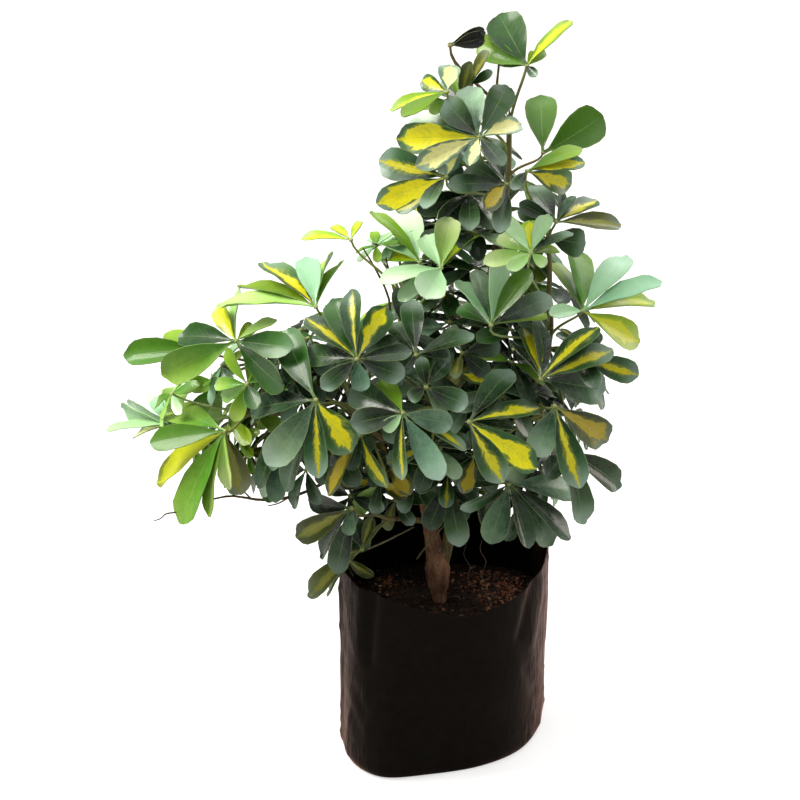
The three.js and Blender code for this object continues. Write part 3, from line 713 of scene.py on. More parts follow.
def far(point: Point, tones: str, count: int, length: float) -> FarLeaf:
    """Write a far leaf in short: its hub, its tones, how many leaflets and how long."""
    return FarLeaf(tones, Vector(point), count, length)


def inner(across: float, down: float, depth: float, tones: str, count: int, length: float) -> FarLeaf:
    """Write a leaf deep in the foliage in short: its hub as seen, and the same."""
    return FarLeaf(tones, EYE.seen_at(across, down, depth), count, length)


# Wood

LIMBS: dict[str, tuple[tuple[Point, ...], Flat]] = {
    "leader": (((-2, -4, 346), (20, 10, 410), (42, 16, 480), (56, 14, 560)), (7, 4.2)),
    "second": (((-4, -18, 190), (3, -15, 218), (8, -6, 256), (24, 6, 296), (58, 14, 340),
                (84, 10, 390), (98, 5, 440)), (6.4, 3.6)),
    "left": (((-18, -8, 292), (-52, -20, 330), (-110, -30, 358), (-150, -25, 364)), (5.4, 3)),
    "leftMiddle": (((-110, -30, 358), (-150, -10, 385), (-183, -8, 408)), (3, 2.6)),
    "leftHigh": (((-50, -20, 330), (-80, -10, 385), (-98, -5, 425)), (4, 2.8)),
    "frontLeft": (((-18, -8, 302), (-46, -40, 335), (-75, -65, 365)), (4.8, 3)),
    "front": (((-4, -4, 346), (-5, -40, 368), (-10, -70, 385)), (4.4, 3)),
    "heart": (((-4, -4, 346), (-28, -4, 390), (-42, -8, 430)), (4.6, 2.8)),
    "right": (((50, 12, 330), (76, -22, 345), (90, -55, 365)), (4.4, 3)),
    "rightUpright": (((84, 10, 390), (96, -8, 410), (100, -16, 428)), (3.6, 2.8)),
    "lowRight": (((9, -5, 258), (34, -18, 264), (56, -32, 282)), (3.8, 2.8)),
    "lowLeft": (((-15, -12, 243), (-33, -22, 251), (-52, -35, 257)), (3.4, 2.4)),
    "backLeft": (((-18, -8, 302), (-45, 30, 338), (-80, 55, 360)), (4.6, 3)),
    "backMiddle": (((20, 10, 410), (16, 45, 430), (10, 72, 446)), (4.2, 2.8)),
    "backRight": (((50, 12, 330), (76, 48, 345), (95, 76, 358)), (4.2, 2.8)),
    "backLow": (((-12, -12, 232), (-10, 25, 258), (-8, 50, 274)), (4, 2.8)),
}


# Leafy shoots


@dataclass(frozen=True)
class ShootPlan:
    """A leafy shoot: the branch that it grows from, the rest of its stem, and its leaves."""

    name: str
    limb: str
    stem: tuple[Point, ...]
    leaves: tuple[Leaf, ...]
    filling: tuple[Leaf, ...] = ()


SHOOTS = (
    ShootPlan("crown_shoot", "leader", ((60, 14, 605), (60, 10, 652)), (
        seen(527, 66, -10, "NMELED", (499, 15, 33), (478, 43, 22), (500, 55, 16), (571, 21, 10),
             (544, 50, 10), (536, 76, 8)),
        seen(447, 92, -25, "LEYW", (391, 110, 8), (403, 116, 10), (422, 80, 15), (450, 65, 19)),
        seen(471, 85, 5, "OOD", (488, 52, 8), (467, 69, 8), (492, 72, 8)),
        seen(479, 137, -60, "VGDGNWWWD", (398, 139, 26), (410, 122, 20), (438, 94, 28), (468, 87, 24),
             (507, 86, 24), (520, 123, 16), (417, 166, 19), (469, 165, 12), (503, 165, 14)),
        seen(446, 177, -72, "SVWDW", (380, 160, 28), (377, 203, 22), (397, 211, 16), (425, 208, 12),
             (457, 152, 12)),
        seen(506, 184, -55, "DDDADY", (449, 185, 16), (468, 163, 14), (490, 142, 20), (486, 209, 16),
             (499, 232, 16), (524, 178, 8)),
        seen(470, 193, 30, "DDDDGD", (418, 210, 20), (440, 224, 18), (470, 230, 18), (496, 228, 18),
             (448, 166, 18), (500, 176, 18)),
        seen(543, 153, 0, "FF", (541, 96, 28), (602, 116, 34)),
        seen(450, 46, 5, "B", (484, 38, 14)),
        inner(474, 232, -8, "DGD", 6, 50), far((30, 82, 622), "DGYDMD", 7, 58),
        far((78, 74, 578), "DMDGD", 7, 60), far((8, 72, 566), "GDYDD", 7, 60),
    ), (
        inner(437, 224, 22, "DGD", 6, 44), inner(462, 206, 50, "DD", 7, 50),
        inner(500, 216, 40, "DDS", 6, 46), inner(450, 140, 10, "DGD", 6, 46),
        seen(460, 100, 10, "EOD", (452, 66, 14), (470, 62, 12), (440, 84, 14)),
        seen(527, 64, -4, "EL", (542, 50, 9), (535, 52, 8)),
        seen(450, 44, 9, "B", (485, 32, 13)),
        seen(447, 100, -12, "MM", (418, 104, 12), (430, 112, 10)),
        inner(445, 218, 46, "DD", 7, 48), inner(478, 160, 44, "DD", 7, 50),
    )),
    ShootPlan("upper_right_shoot", "second", ((102, 5, 490), (100, 2, 540)), (
        seen(527, 171, -45, "EVYD", (581, 148, 12), (584, 162, 14), (571, 184, 22), (512, 189, 10)),
        seen(556, 222, -35, "DDDDGYO", (512, 199, 16), (518, 211, 14), (532, 186, 19), (562, 186, 8),
             (574, 196, 8), (596, 200, 14), (620, 225, 15)),
        seen(548, 238, 10, "DNE", (585, 245, 26), (522, 258, 20), (510, 232, 20)),
        seen(531, 253, -80, "PLPDEQQQQ", (503, 217, 14), (529, 221, 14), (548, 215, 14), (572, 233, 8),
             (558, 250, 8), (546, 265, 10), (508, 269, 12), (484, 262, 14), (499, 236, 14)),
        inner(520, 290, -14, "DGD", 6, 50), far((82, 76, 518), "DMGYD", 7, 58),
        far((122, 48, 470), "DDGM", 6, 50),
    ), (
        inner(476, 268, 12, "DGD", 6, 44), inner(515, 250, 30, "DD", 6, 44),
        inner(462, 262, 34, "DD", 7, 46), inner(508, 312, 20, "DD", 7, 46),
    )),
    ShootPlan("heart_shoot", "heart", ((-45, -12, 462), (-42, -16, 488)), (
        seen(420, 262, -30, "PPLE", (405, 212, 25), (370, 239, 12), (383, 253, 16), (371, 212, 10)),
        seen(441, 268, -62, "QPLPPP", (450, 218, 22), (425, 236, 18), (475, 236, 10), (380, 281, 14),
             (399, 300, 14), (424, 297, 28)),
        seen(351, 240, -20, "LLL", (302, 238, 8), (332, 226, 8), (360, 221, 7)),
        inner(450, 322, -18, "DGD", 6, 46),
    ), (
        inner(432, 262, 12, "DND", 6, 40), inner(396, 238, 16, "PMP", 7, 30),
        inner(446, 244, 22, "PQM", 7, 30), inner(376, 246, 4, "MPE", 6, 24),
        inner(424, 312, 6, "DGD", 6, 44), inner(448, 292, 24, "DND", 7, 44),
        inner(420, 330, 36, "DD", 7, 50),
    )),
    ShootPlan("right_upright_shoot", "rightUpright", ((103, -24, 452), (102, -32, 478)), (
        seen(583, 311, -35, "MMPPLLP", (546, 259, 14), (578, 251, 22), (627, 257, 22), (660, 281, 16),
             (653, 302, 15), (639, 342, 24), (550, 314, 12)),
        seen(541, 379, -98, "YSDDDYDD", (598, 328, 16), (612, 350, 20), (604, 389, 30), (584, 370, 12),
             (559, 388, 9), (524, 328, 16), (539, 322, 16), (513, 341, 12)),
        seen(578, 356, -55, "SDD", (638, 375, 22), (600, 332, 14), (596, 388, 16)),
        seen(491, 325, -88, "PGPFDEN", (459, 281, 14), (477, 270, 18), (500, 258, 18), (530, 270, 18),
             (551, 297, 20), (545, 314, 14), (459, 307, 14)),
    ), (
        inner(512, 330, -30, "DDN", 6, 46), inner(582, 346, -24, "DSD", 6, 34),
        inner(590, 372, -20, "DD", 6, 42), inner(534, 392, -52, "DD", 6, 40),
        inner(510, 350, -6, "DD", 7, 48), inner(538, 376, 4, "DD", 7, 44),
        inner(572, 412, -40, "DGD", 6, 38),
    )),
    ShootPlan("front_left_shoot", "frontLeft", ((-90, -76, 388), (-96, -80, 412)), (
        seen(357, 359, -115, "SNSDDGDDYN", (352, 290, 18), (333, 300, 24), (307, 318, 18),
             (304, 356, 20), (322, 388, 16), (362, 391, 16), (404, 376, 20), (411, 352, 14),
             (386, 308, 24), (370, 314, 14)),
        seen(316, 400, -125, "NDGSDSY", (284, 331, 28), (252, 409, 22), (268, 464, 28), (290, 444, 10),
             (286, 490, 18), (318, 477, 20), (350, 452, 28)),
        seen(361, 435, -92, "AYDD", (329, 495, 12), (387, 487, 12), (350, 470, 12), (338, 428, 16)),
        seen(380, 481, -62, "AQDA", (341, 484, 12), (356, 512, 16), (373, 513, 10), (407, 497, 14)),
        seen(290, 420, -78, "DGD", (258, 487, 15), (272, 470, 12), (300, 462, 14)),
        inner(332, 446, -72, "DDGS", 6, 44), inner(292, 380, -66, "DGD", 6, 46),
    ), (
        inner(338, 404, -58, "DDN", 7, 44), inner(308, 338, -48, "DGN", 6, 44),
        inner(280, 362, -34, "NDN", 6, 42), inner(262, 462, -36, "DNO", 6, 42),
        inner(306, 470, -50, "DGD", 6, 40), inner(362, 478, -40, "DOD", 6, 38),
        inner(350, 420, -30, "DD", 6, 46), inner(350, 496, -58, "DD", 6, 34),
        inner(352, 452, -8, "DD", 7, 46), inner(302, 402, -40, "DNM", 7, 40),
        seen(284, 440, -58, "GG", (275, 502, 18), (262, 496, 14)),
        inner(320, 360, -20, "DD", 7, 44),
    )),
    ShootPlan("front_shoot", "front", ((-13, -80, 402), (-14, -84, 420)), (
        seen(416, 355, -100, "DDDDD", (411, 300, 20), (473, 335, 14), (447, 352, 12), (392, 323, 16),
             (386, 360, 20)),
        seen(426, 387, -122, "DGDDDD", (467, 405, 20), (446, 412, 12), (421, 357, 12), (446, 362, 14),
             (408, 370, 10), (409, 399, 12)),
        seen(403, 413, -138, "DDPSGGES", (350, 390, 26), (352, 424, 22), (384, 430, 12), (402, 479, 12),
             (441, 479, 22), (452, 424, 20), (382, 381, 14), (466, 449, 10)),
        seen(462, 353, -62, "DDOG", (500, 345, 18), (488, 374, 16), (455, 378, 10), (448, 328, 16)),
        inner(384, 402, -84, "DDG", 6, 46), inner(388, 456, -62, "DAD", 6, 40),
        inner(432, 446, -92, "DGDS", 6, 44), inner(404, 330, -56, "DGD", 6, 46),
        inner(476, 360, -38, "DDO", 6, 48),
    ), (
        inner(414, 478, -48, "DD", 6, 38), inner(448, 474, -56, "DSD", 6, 38),
        inner(470, 400, -64, "DDG", 7, 44), inner(376, 350, -48, "DD", 6, 44),
        inner(430, 400, -60, "DD", 7, 46), inner(440, 350, -20, "DND", 7, 46),
        inner(400, 440, -44, "DD", 6, 44), inner(400, 390, 10, "DD", 7, 50),
        inner(450, 436, 10, "DD", 7, 48), inner(468, 372, 14, "DD", 7, 48),
        inner(396, 500, -20, "DOD", 6, 34),
    )),
    ShootPlan("front_right_shoot", "right", ((93, -66, 378), (92, -78, 390)), (
        seen(469, 422, -135, "YVSDD", (538, 408, 16), (536, 468, 24), (502, 482, 24), (510, 370, 22),
             (513, 424, 14)),
        seen(555, 406, -108, "ASG", (607, 440, 28), (580, 487, 24), (536, 456, 24)),
        seen(567, 450, -70, "DDD", (620, 486, 22), (584, 523, 20), (546, 478, 18)),
        inner(502, 392, -82, "DGDY", 6, 48), inner(556, 436, -34, "DGD", 6, 46),
        inner(512, 362, -48, "DDM", 6, 44), inner(474, 456, -70, "DAD", 6, 40),
    ), (
        inner(536, 464, -48, "DGD", 6, 42), inner(482, 446, -36, "DD", 7, 44),
        inner(500, 420, -40, "DD", 7, 44), inner(500, 456, 4, "DD", 7, 46),
        inner(520, 400, 8, "DD", 7, 46), inner(546, 470, -14, "DGD", 7, 40),
    )),
    ShootPlan("low_right_shoot", "lowRight", ((60, -42, 290), (62, -50, 298)), (
        seen(509, 484, -82, "GGDDGDD", (574, 492, 22), (552, 544, 24), (570, 538, 16), (529, 547, 16),
             (490, 543, 24), (452, 478, 16), (461, 509, 10)),
        seen(447, 485, -62, "DDD", (428, 529, 19), (460, 546, 21), (476, 502, 14)),
    ), (
        inner(474, 492, -42, "DGD", 6, 38), inner(520, 500, -40, "DD", 6, 40),
    )),
    ShootPlan("low_left_shoot", "lowLeft", ((-70, -49, 267), (-82, -58, 270)), (
        seen(352, 508, -85, "ODDDG", (297, 537, 22), (309, 500, 18), (321, 557, 12), (336, 573, 20),
             (348, 535, 12)),
        seen(362, 549, -68, "OODOO", (309, 596, 18), (328, 594, 8), (354, 518, 16), (372, 517, 10),
             (342, 555, 8)),
    ), (
        inner(344, 556, -40, "OD", 5, 34),
    )),
    ShootPlan("left_low_shoot", "left", ((-176, -28, 367), (-192, -30, 368)), (
        seen(225, 431, -58, "MFKMEQO", (164, 410, 22), (151, 442, 22), (158, 482, 18), (180, 522, 24),
             (209, 516, 10), (229, 489, 11), (241, 494, 24)),
        seen(170, 425, -12, "PPPWM", (148, 384, 22), (122, 406, 13), (107, 429, 8), (134, 437, 6),
             (180, 386, 24)),
        seen(222, 385, -8, "MMQ", (190, 384, 16), (196, 413, 18), (212, 424, 12)),
    ), (
        inner(228, 466, -30, "OEM", 6, 28), inner(172, 394, -4, "PMQ", 6, 34),
        inner(206, 442, -20, "MEM", 6, 36),
        seen(174, 424, 8, "PP", (149, 383, 22), (128, 402, 13)),
        inner(196, 446, -6, "MEM", 6, 30), inner(240, 436, -34, "EMN", 6, 26),
    )),
    ShootPlan("left_middle_shoot", "leftMiddle", ((-192, -10, 416), (-198, -12, 424)), (
        seen(247, 384, -64, "EEMMQMN", (226, 349, 10), (255, 350, 14), (272, 366, 16), (215, 385, 12),
             (222, 399, 12), (234, 421, 14), (256, 409, 14)),
        seen(236, 341, -28, "NMKQQNLN", (180, 336, 22), (163, 374, 30), (217, 306, 16), (238, 289, 9),
             (276, 320, 8), (292, 347, 24), (253, 325, 12), (283, 388, 20)),
        inner(250, 408, -10, "MDM", 6, 42),
        seen(205, 350, 14, "FEN", (125, 355, 24), (166, 333, 14), (204, 327, 8)),
    ), (
        inner(222, 366, -6, "GMP", 6, 38), inner(230, 420, -22, "MEO", 6, 38),
        inner(262, 398, -20, "NOM", 6, 28), inner(248, 452, -14, "ONM", 6, 28),
        inner(212, 378, 10, "MPM", 7, 34), inner(238, 400, 4, "MNE", 7, 34),
        inner(272, 350, -10, "NDM", 6, 36),
    )),
    ShootPlan("left_high_shoot", "leftHigh", ((-104, -5, 440), (-108, -8, 452)), (
        seen(316, 307, -25, "EQYPMM", (240, 286, 10), (220, 305, 11), (264, 263, 18), (306, 258, 22),
             (330, 256, 9), (341, 262, 8)),
    ), (
        inner(300, 330, -30, "MND", 6, 36),
    )),
    ShootPlan("back_left_shoot", "backLeft", ((-96, 66, 374), (-102, 70, 386)), (
        far((-118, 112, 376), "MDYMG", 7, 62), far((-186, 62, 356), "LMPM", 7, 60),
        far((-56, 138, 372), "DGDSD", 7, 60),
    ), (
        inner(250, 380, 40, "MDM", 7, 50),
    )),
    ShootPlan("back_middle_shoot", "backMiddle", ((8, 86, 464), (8, 92, 478)), (
        far((2, 146, 432), "DYDGD", 7, 60), far((62, 128, 476), "GDMDY", 7, 58),
        far((-34, 108, 444), "MDPMD", 7, 52),
    )),
    ShootPlan("back_right_shoot", "backRight", ((102, 88, 372), (104, 92, 386)), (
        far((116, 120, 366), "DYDDG", 7, 56), far((56, 146, 350), "DGDAD", 7, 60),
        far((122, 66, 348), "DDYG", 6, 50),
    )),
    ShootPlan("back_low_shoot", "backLow", ((-8, 64, 284), (-8, 74, 294)), (
        far((-12, 116, 300), "DSDGD", 7, 60), far((62, 92, 292), "DGDOD", 7, 58),
        far((-88, 92, 292), "DMDGY", 7, 58),
    )),
)




@dataclass(frozen=True)
class LeafletForm:
    """The form of one leaflet, in shares of its length and width.

    A pair is a spread: its least value and how much a leaflet's own draw can add to it. The start of
    the wave is a stretch of the leaflet.
    """

    columns: tuple[float, ...] = (-1.0, -0.55, 0.0, 0.55, 1.0)
    rows: tuple[float, ...] = (0.0, 0.1, 0.22, 0.38, 0.56, 0.73, 0.86, 0.95, 1.0)
    outline: tuple[Flat, ...] = (
        (0, 0.09), (0.1, 0.1), (0.22, 0.38), (0.38, 0.77), (0.56, 1.04), (0.73, 1.12), (0.86, 1.02),
        (0.95, 0.74), (1, 0.4))
    overrun: float = 0.015
    tip_drop: float = 0.03
    tip_drop_start: float = 0.82
    margin_power: float = 1.6
    fold: float = 0.25
    fold_spread: Flat = (0.5, 1.2)
    fold_middle: float = 0.35
    wave_height: float = 0.8
    wave_count: Flat = (1.2, 1.4)
    wave_start: Flat = (0.15, 0.5)
    margins_apart: float = 0.37
    groove: float = 0.35
    groove_reach: float = 0.24
    curl: float = 0.1
    curl_start: float = 0.55
    sway: float = 0.06
    thick: float = 0.75
    underside: int = 0x7E9C62
    underside_share: float = 0.3
    underside_patch_share: float = 0.12

    def lay_flat(self, shape: Mesh) -> None:
        """Lay the leaflet out flat.

        Args:
            shape: The empty mesh that gets it.
        """
        across, along = len(self.columns) - 1, len(self.rows) - 1
        bmesh.ops.create_grid(shape, x_segments=across, y_segments=along, size=1.0)
        for vert in shape.verts:
            column, row = round((vert.co.x + 1) / 2 * across), round((vert.co.y + 1) / 2 * along)
            vert.co = (self.columns[column], self.rows[row], 0)

    def point(self, blade: Blade, place: Vector, wave: float, luck: Sequence[float]) -> Vector:
        """Find where a point of the leaflet goes.

        Args:
            blade: The leaflet's plan.
            place: Across from -1 to 1, along from 0 to 1, and nothing.
            wave: How wavy its margin is.
            luck: Its own draws from 0 to 1, of which the first four shape it.

        Returns:
            The point.
        """
        across, along = place.x, place.y
        way = along - self.tip_drop * across * across * smooth_step(along, self.tip_drop_start, 1)
        way *= 1 + self.overrun
        half = blade.width / 2 * through(self.outline, along)
        midrib, right = blade.midrib, blade.right
        over = right.cross(midrib.heading(way)).normalized()
        margin = abs(across) ** self.margin_power
        beat = TURN * (along * drawn_from(self.wave_count, luck[0]) + luck[1]
                       + (self.margins_apart if across > 0 else 0))
        lift = self.fold * half * (margin * drawn_from(self.fold_spread, luck[2]) - self.fold_middle)
        lift += wave * self.wave_height * margin * math.sin(beat) * smooth_step(along, *self.wave_start)
        lift -= self.groove * (1 - min(1.0, abs(across) / self.groove_reach)) * (1 - along)
        lift -= self.curl * luck[2] * (blade.end - blade.hub).length * max(0.0, along - self.curl_start) ** 2
        bend = (luck[3] - 0.5) * self.sway * blade.width * math.sin(math.pi * along)
        return midrib.at(way) + right * (across * half + bend) + over * (lift + self.thick / 2)


class Crowd:
    """What the filling leaves keep clear of: the part's own solids and each other."""

    WAYS = (0.3, 0.5, 0.7, 0.85, 1.0)
    HALF_WIDTH = 0.42

    def __init__(self) -> None:
        """Read the part's solids."""
        self.solids = [Solid(name).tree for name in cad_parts]
        self.filling: list[BVHTree] = []
        self.points: list[Vector] = []
        self.faces: list[tuple[int, ...]] = []

    def strip(self, blade: Blade) -> tuple[list[Vector], list[tuple[int, ...]]]:
        """Give a leaflet as a strip of quads, in metres.

        Args:
            blade: The leaflet's plan.

        Returns:
            Its points and its faces.
        """
        midrib, right = blade.midrib, blade.right
        points = [(midrib.at(way) + right * (side * blade.width * self.HALF_WIDTH)) * MM
                  for way in self.WAYS for side in (1, -1)]
        faces = [(row, row + 1, row + 3, row + 2) for row in range(0, len(points) - 2, 2)]
        return points, faces

    def first_clear(self, choices: Iterable[Blade]) -> Blade | None:
        """Find the first plan that meets nothing.

        Args:
            choices: The plans, the likeliest first.

        Returns:
            The plan, if there is one.
        """
        for choice in choices:
            tree = BVHTree.FromPolygons(*self.strip(choice))
            if not any(tree.overlap(other) for other in self.solids + self.filling):
                return choice
        return None

    def join(self, blades: Sequence[Blade]) -> None:
        """Take a leaf's leaflets up.

        Args:
            blades: Their plans.
        """
        for blade in blades:
            points, faces = self.strip(blade)
            first = len(self.points)
            self.points += points
            self.faces += [tuple(first + corner for corner in face) for face in faces]
        if self.faces:
            self.filling = [BVHTree.FromPolygons(self.points, self.faces)]


class Growth:
    """One shoot's blades and stalks while they grow, with the layers that their finishes read."""

    def __init__(self) -> None:
        """Start both meshes."""
        self.blades, self.stalks = bmesh.new(), bmesh.new()
        layers = self.blades.verts.layers
        self.place = layers.float_vector.new("leaf_place")
        self.green = layers.float_color.new("leaf_green")
        self.flush = layers.float_color.new("leaf_flush")
        self.patch = layers.float_color.new("leaf_patch")
        self.shade = self.stalks.verts.layers.float_color.new("stalk_shade")
        self.left_out = 0

    def colour_stalks(self, verts: Iterable[Vert], colour: Sequence[float]) -> None:
        """Colour new points of the stalks."""
        for vert in verts:
            vert[self.shade] = colour


@dataclass
class Foliage:
    """Every leafy shoot: its blades and its stalks, each as one piece.

    A spread is its least value and how much a leaflet's own draw can add to it.
    """

    form: LeafletForm = LeafletForm()
    stalk_sides: int = 7
    stalk_steps: int = 9
    stalk_taper: Flat = (1.12, 0.32)
    stalk_foot: Flat = (0.05, 0.35)
    stem_sides: int = 10
    stem_steps: int = 16
    stem_shade: int = 0x6B6B38
    hub_shares: Point = (0.92, 0.92, 0.95)
    hub_shade: int = 0xB3C068
    hub_shade_share: float = 0.3
    bud: tuple[Point, ...] = ((0.0, 7.5, 1.7), (0.45, 5.5, 1.4), (-0.5, 5.0, 1.3))
    bud_narrowing: float = 0.6
    bud_narrows: Flat = (-0.2, 1.0)
    bud_rise: float = 0.7
    bud_shade: int = 0x7D8A3C
    dropped_past: float = 2.5
    taken_at: float = 0.08
    luck_count: int = 6
    light_spread: Flat = (0.76, 0.34)
    warmth_spread: Flat = (0.91, 0.2)
    patch_spread: Flat = (0.85, 0.3)
    mark_step: float = 17.0
    wave_width: float = 22.0
    seed: int = 11

    def __post_init__(self) -> None:
        """Make the shapes that are laid again and again."""
        self.crowd = Crowd()
        self.leaflet = Template(self.form.lay_flat)
        self.bead = Template(lambda shape: bmesh.ops.create_uvsphere(
            shape, u_segments=8, v_segments=5, radius=1.0))
        self.stalk = bar_template(self.stalk_sides, self.stalk_steps)
        self.stem = bar_template(self.stem_sides, self.stem_steps)

    def build(self, plan: ShootPlan, blade: Material, green: Material) -> None:
        """Build one shoot's blades and stalks.

        Args:
            plan: The shoot.
            blade: The blades' material.
            green: The stalks' material.
        """
        solid, growth = Solid(plan.name), Growth()
        stem = self.add_stem(growth, plan)
        for order, leaf in enumerate(plan.leaves):
            line, _ = solid.best(
                self.stalk_lines(stem, leaf), self.taken_at,
                lambda line: (abs(solid.distance(line.at(way)) - STALK_RADIUS / 2) for way in THIRDS))
            self.add_stalk(growth, leaf, line)
            self.add_leaflets(growth, plan, order, leaf, lambda choices: self.lying_on(solid, choices))
        for order, leaf in enumerate(plan.filling, len(plan.leaves)):
            taken = self.add_leaflets(growth, plan, order, leaf, self.crowd.first_clear)
            self.crowd.join(taken)
            if taken:
                self.add_stalk(growth, leaf, self.stalk_lines(stem, leaf)[0])
        self.add_undersides(growth)
        crease_rims(growth.blades)
        crease_rims(growth.stalks)
        LOG.info("%s: %d leaflets left out", plan.name, growth.left_out)
        finished(f"{plan.name}_blades", growth.blades, blade, "leaf", plan.name)
        finished(f"{plan.name}_stalks", growth.stalks, green, "leaf", plan.name)

    def add_stem(self, growth: Growth, plan: ShootPlan) -> SmoothLine:
        """Lay a shoot's stem, from the end of its branch to its bud.

        Args:
            growth: What gets it.
            plan: The shoot.

        Returns:
            The stem's line.
        """
        line, (_, radius) = LIMBS[plan.limb]
        wood = SmoothLine(line)
        direction = wood.heading(1)
        start = wood.at(1) + direction * STEM_GAP
        stem = SmoothLine((start, start + direction * STEM_ROOT, *plan.stem))
        rings = bar_frames(
            stem, lambda way: radius * (1 - (1 - STEM_TAPER) * way), self.stem_steps, direction)
        growth.colour_stalks(lay_bar(growth.stalks, self.stem, rings), light_of(self.stem_shade))
        self.add_bud(growth, stem)
        return stem

    def add_bud(self, growth: Growth, stem: SmoothLine) -> None:
        """Put the folded young leaves on a stem's end.

        Args:
            growth: What gets them.
            stem: The stem's line.
        """
        top, turn = stem.at(1), upright_turn(stem.heading(1))
        for order, (lean, length, width) in enumerate(self.bud):
            tilt = turn @ Matrix.Rotation(GOLDEN_ANGLE * order, 3, "Z") @ Matrix.Rotation(lean, 3, "X")
            size = Matrix.Diagonal((width, width, length))
            made = self.bead.lay(
                growth.stalks, lambda point: top + tilt @ (size @ self.drawn_out(point)))
            growth.colour_stalks(made, light_of(self.bud_shade))

    def drawn_out(self, point: Vector) -> Vector:
        """Draw a point of the round lump out to a bud's tip."""
        narrow = 1 - self.bud_narrowing * smooth_step(point.z, *self.bud_narrows)
        return Vector((point.x * narrow, point.y * narrow, point.z + self.bud_rise))

    def stalk_lines(self, stem: SmoothLine, leaf: Leaf) -> list[BezierLine]:
        """Give the ways in which a leaf's stalk may run.

        Args:
            stem: The shoot's stem.
            leaf: The leaf.

        Returns:
            The lines, the likeliest first.
        """
        hub, facing = leaf.hub, leaf.facing
        starts = sorted(STALK_STARTS, key=lambda way: abs(
            (hub - stem.at(way)).angle(stem.heading(way)) - STALK_LIFT))
        lines = []
        for way in starts[:STALK_CHOICES]:
            start, heading = stem.at(way), stem.heading(way)
            span = hub - start
            for swerve in STALK_SWERVES:
                aside = span.cross(UP).normalized() * swerve
                leave = start + span * STALK_LEAVE + heading * (span.length * STALK_RISE) + aside
                arrive = hub - facing * (span.length * STALK_ARRIVE) + aside
                lines.append(BezierLine((start, leave, arrive, hub - facing * STALK_SINK)))
        return lines

    def stalk_radius(self, way: float) -> float:
        """Find a stalk's radius at a share of its line, thickest in its swollen foot."""
        thick, taper = self.stalk_taper
        foot, swelling = self.stalk_foot
        return STALK_RADIUS * (thick - taper * way + swelling * (way < foot))

    def add_stalk(self, growth: Growth, leaf: Leaf, line: BezierLine) -> None:
        """Lay a leaf's stalk and the hub on its end.

        Args:
            growth: What gets them.
            leaf: The leaf.
            line: The stalk's line.
        """
        tone = light_of(leaf.tone_of(0).stalk)
        rings = bar_frames(line, self.stalk_radius, self.stalk_steps)
        growth.colour_stalks(lay_bar(growth.stalks, self.stalk, rings), tone)
        turn = upright_turn(leaf.facing)
        squash = Matrix.Diagonal(tuple(map(mul, self.hub_shares, (HUB_RADIUS, HUB_RADIUS, HUB_HEIGHT))))
        made = self.bead.lay(growth.stalks, lambda point: leaf.hub + turn @ squash @ point)
        growth.colour_stalks(made, blend_of(tone, light_of(self.hub_shade), self.hub_shade_share))

    def lying_on(self, solid: Solid, choices: Iterable[Blade]) -> Blade | None:
        """Find the plan that lies on a solid."""
        found, miss = solid.best(
            choices, self.taken_at, lambda choice: map(solid.distance, choice.corners()))
        return None if miss > self.dropped_past else found

    def add_leaflets(
        self, growth: Growth, plan: ShootPlan, order: int, leaf: Leaf,
        choose: Callable[[Iterable[Blade]], Blade | None],
    ) -> list[Blade]:
        """Lay those of a leaf's leaflets for which a plan is found.

        Args:
            growth: What gets them.
            plan: The shoot.
            order: The leaf's place among the shoot's leaves.
            leaf: The leaf.
            choose: What picks one of a leaflet's plans.

        Returns:
            The plans that were taken.
        """
        taken = []
        for leaflet in range(leaf.leaflets):
            blade = choose(leaf.blades(order, leaflet))
            if blade is None:
                growth.left_out += 1
                continue
            taken.append(blade)
            draw = random.Random(f"{self.seed} {plan.name} {order} {leaflet}")
            luck = [draw.random() for _ in range(self.luck_count)]
            self.add_leaflet(growth, blade, leaf.tone_of(leaflet), luck)
        return taken

    def add_leaflet(self, growth: Growth, blade: Blade, tone: Tone, luck: Sequence[float]) -> None:
        """Lay one leaflet with its colours.

        Args:
            growth: What gets it.
            blade: The leaflet's plan.
            tone: Its tone.
            luck: Its own draws from 0 to 1.
        """
        spots: list[Vector] = []

        def on_blade(point: Vector) -> Vector:
            """Find where a point of the flat leaflet goes, and keep the point."""
            spots.append(point)
            return self.form.point(blade, point, tone.wave * blade.width / self.wave_width, luck)

        light, warmth = drawn_from(self.light_spread, luck[4]), drawn_from(self.warmth_spread, luck[5])
        shift = (light * warmth, light, light / warmth)
        green = (*map(mul, light_of(tone.green), shift), 1.0)
        flush = (*map(mul, light_of(tone.flush), shift), tone.gloss)
        patch = light_of(tone.patch, tone.reach * drawn_from(self.patch_spread, luck[5]))
        mark = luck[4] * self.mark_step + luck[5]
        for vert, spot in zip(self.leaflet.lay(growth.blades, on_blade), spots):
            vert[growth.place] = (spot.x, spot.y, mark)
            vert[growth.green] = green
            vert[growth.flush] = flush
            vert[growth.patch] = patch

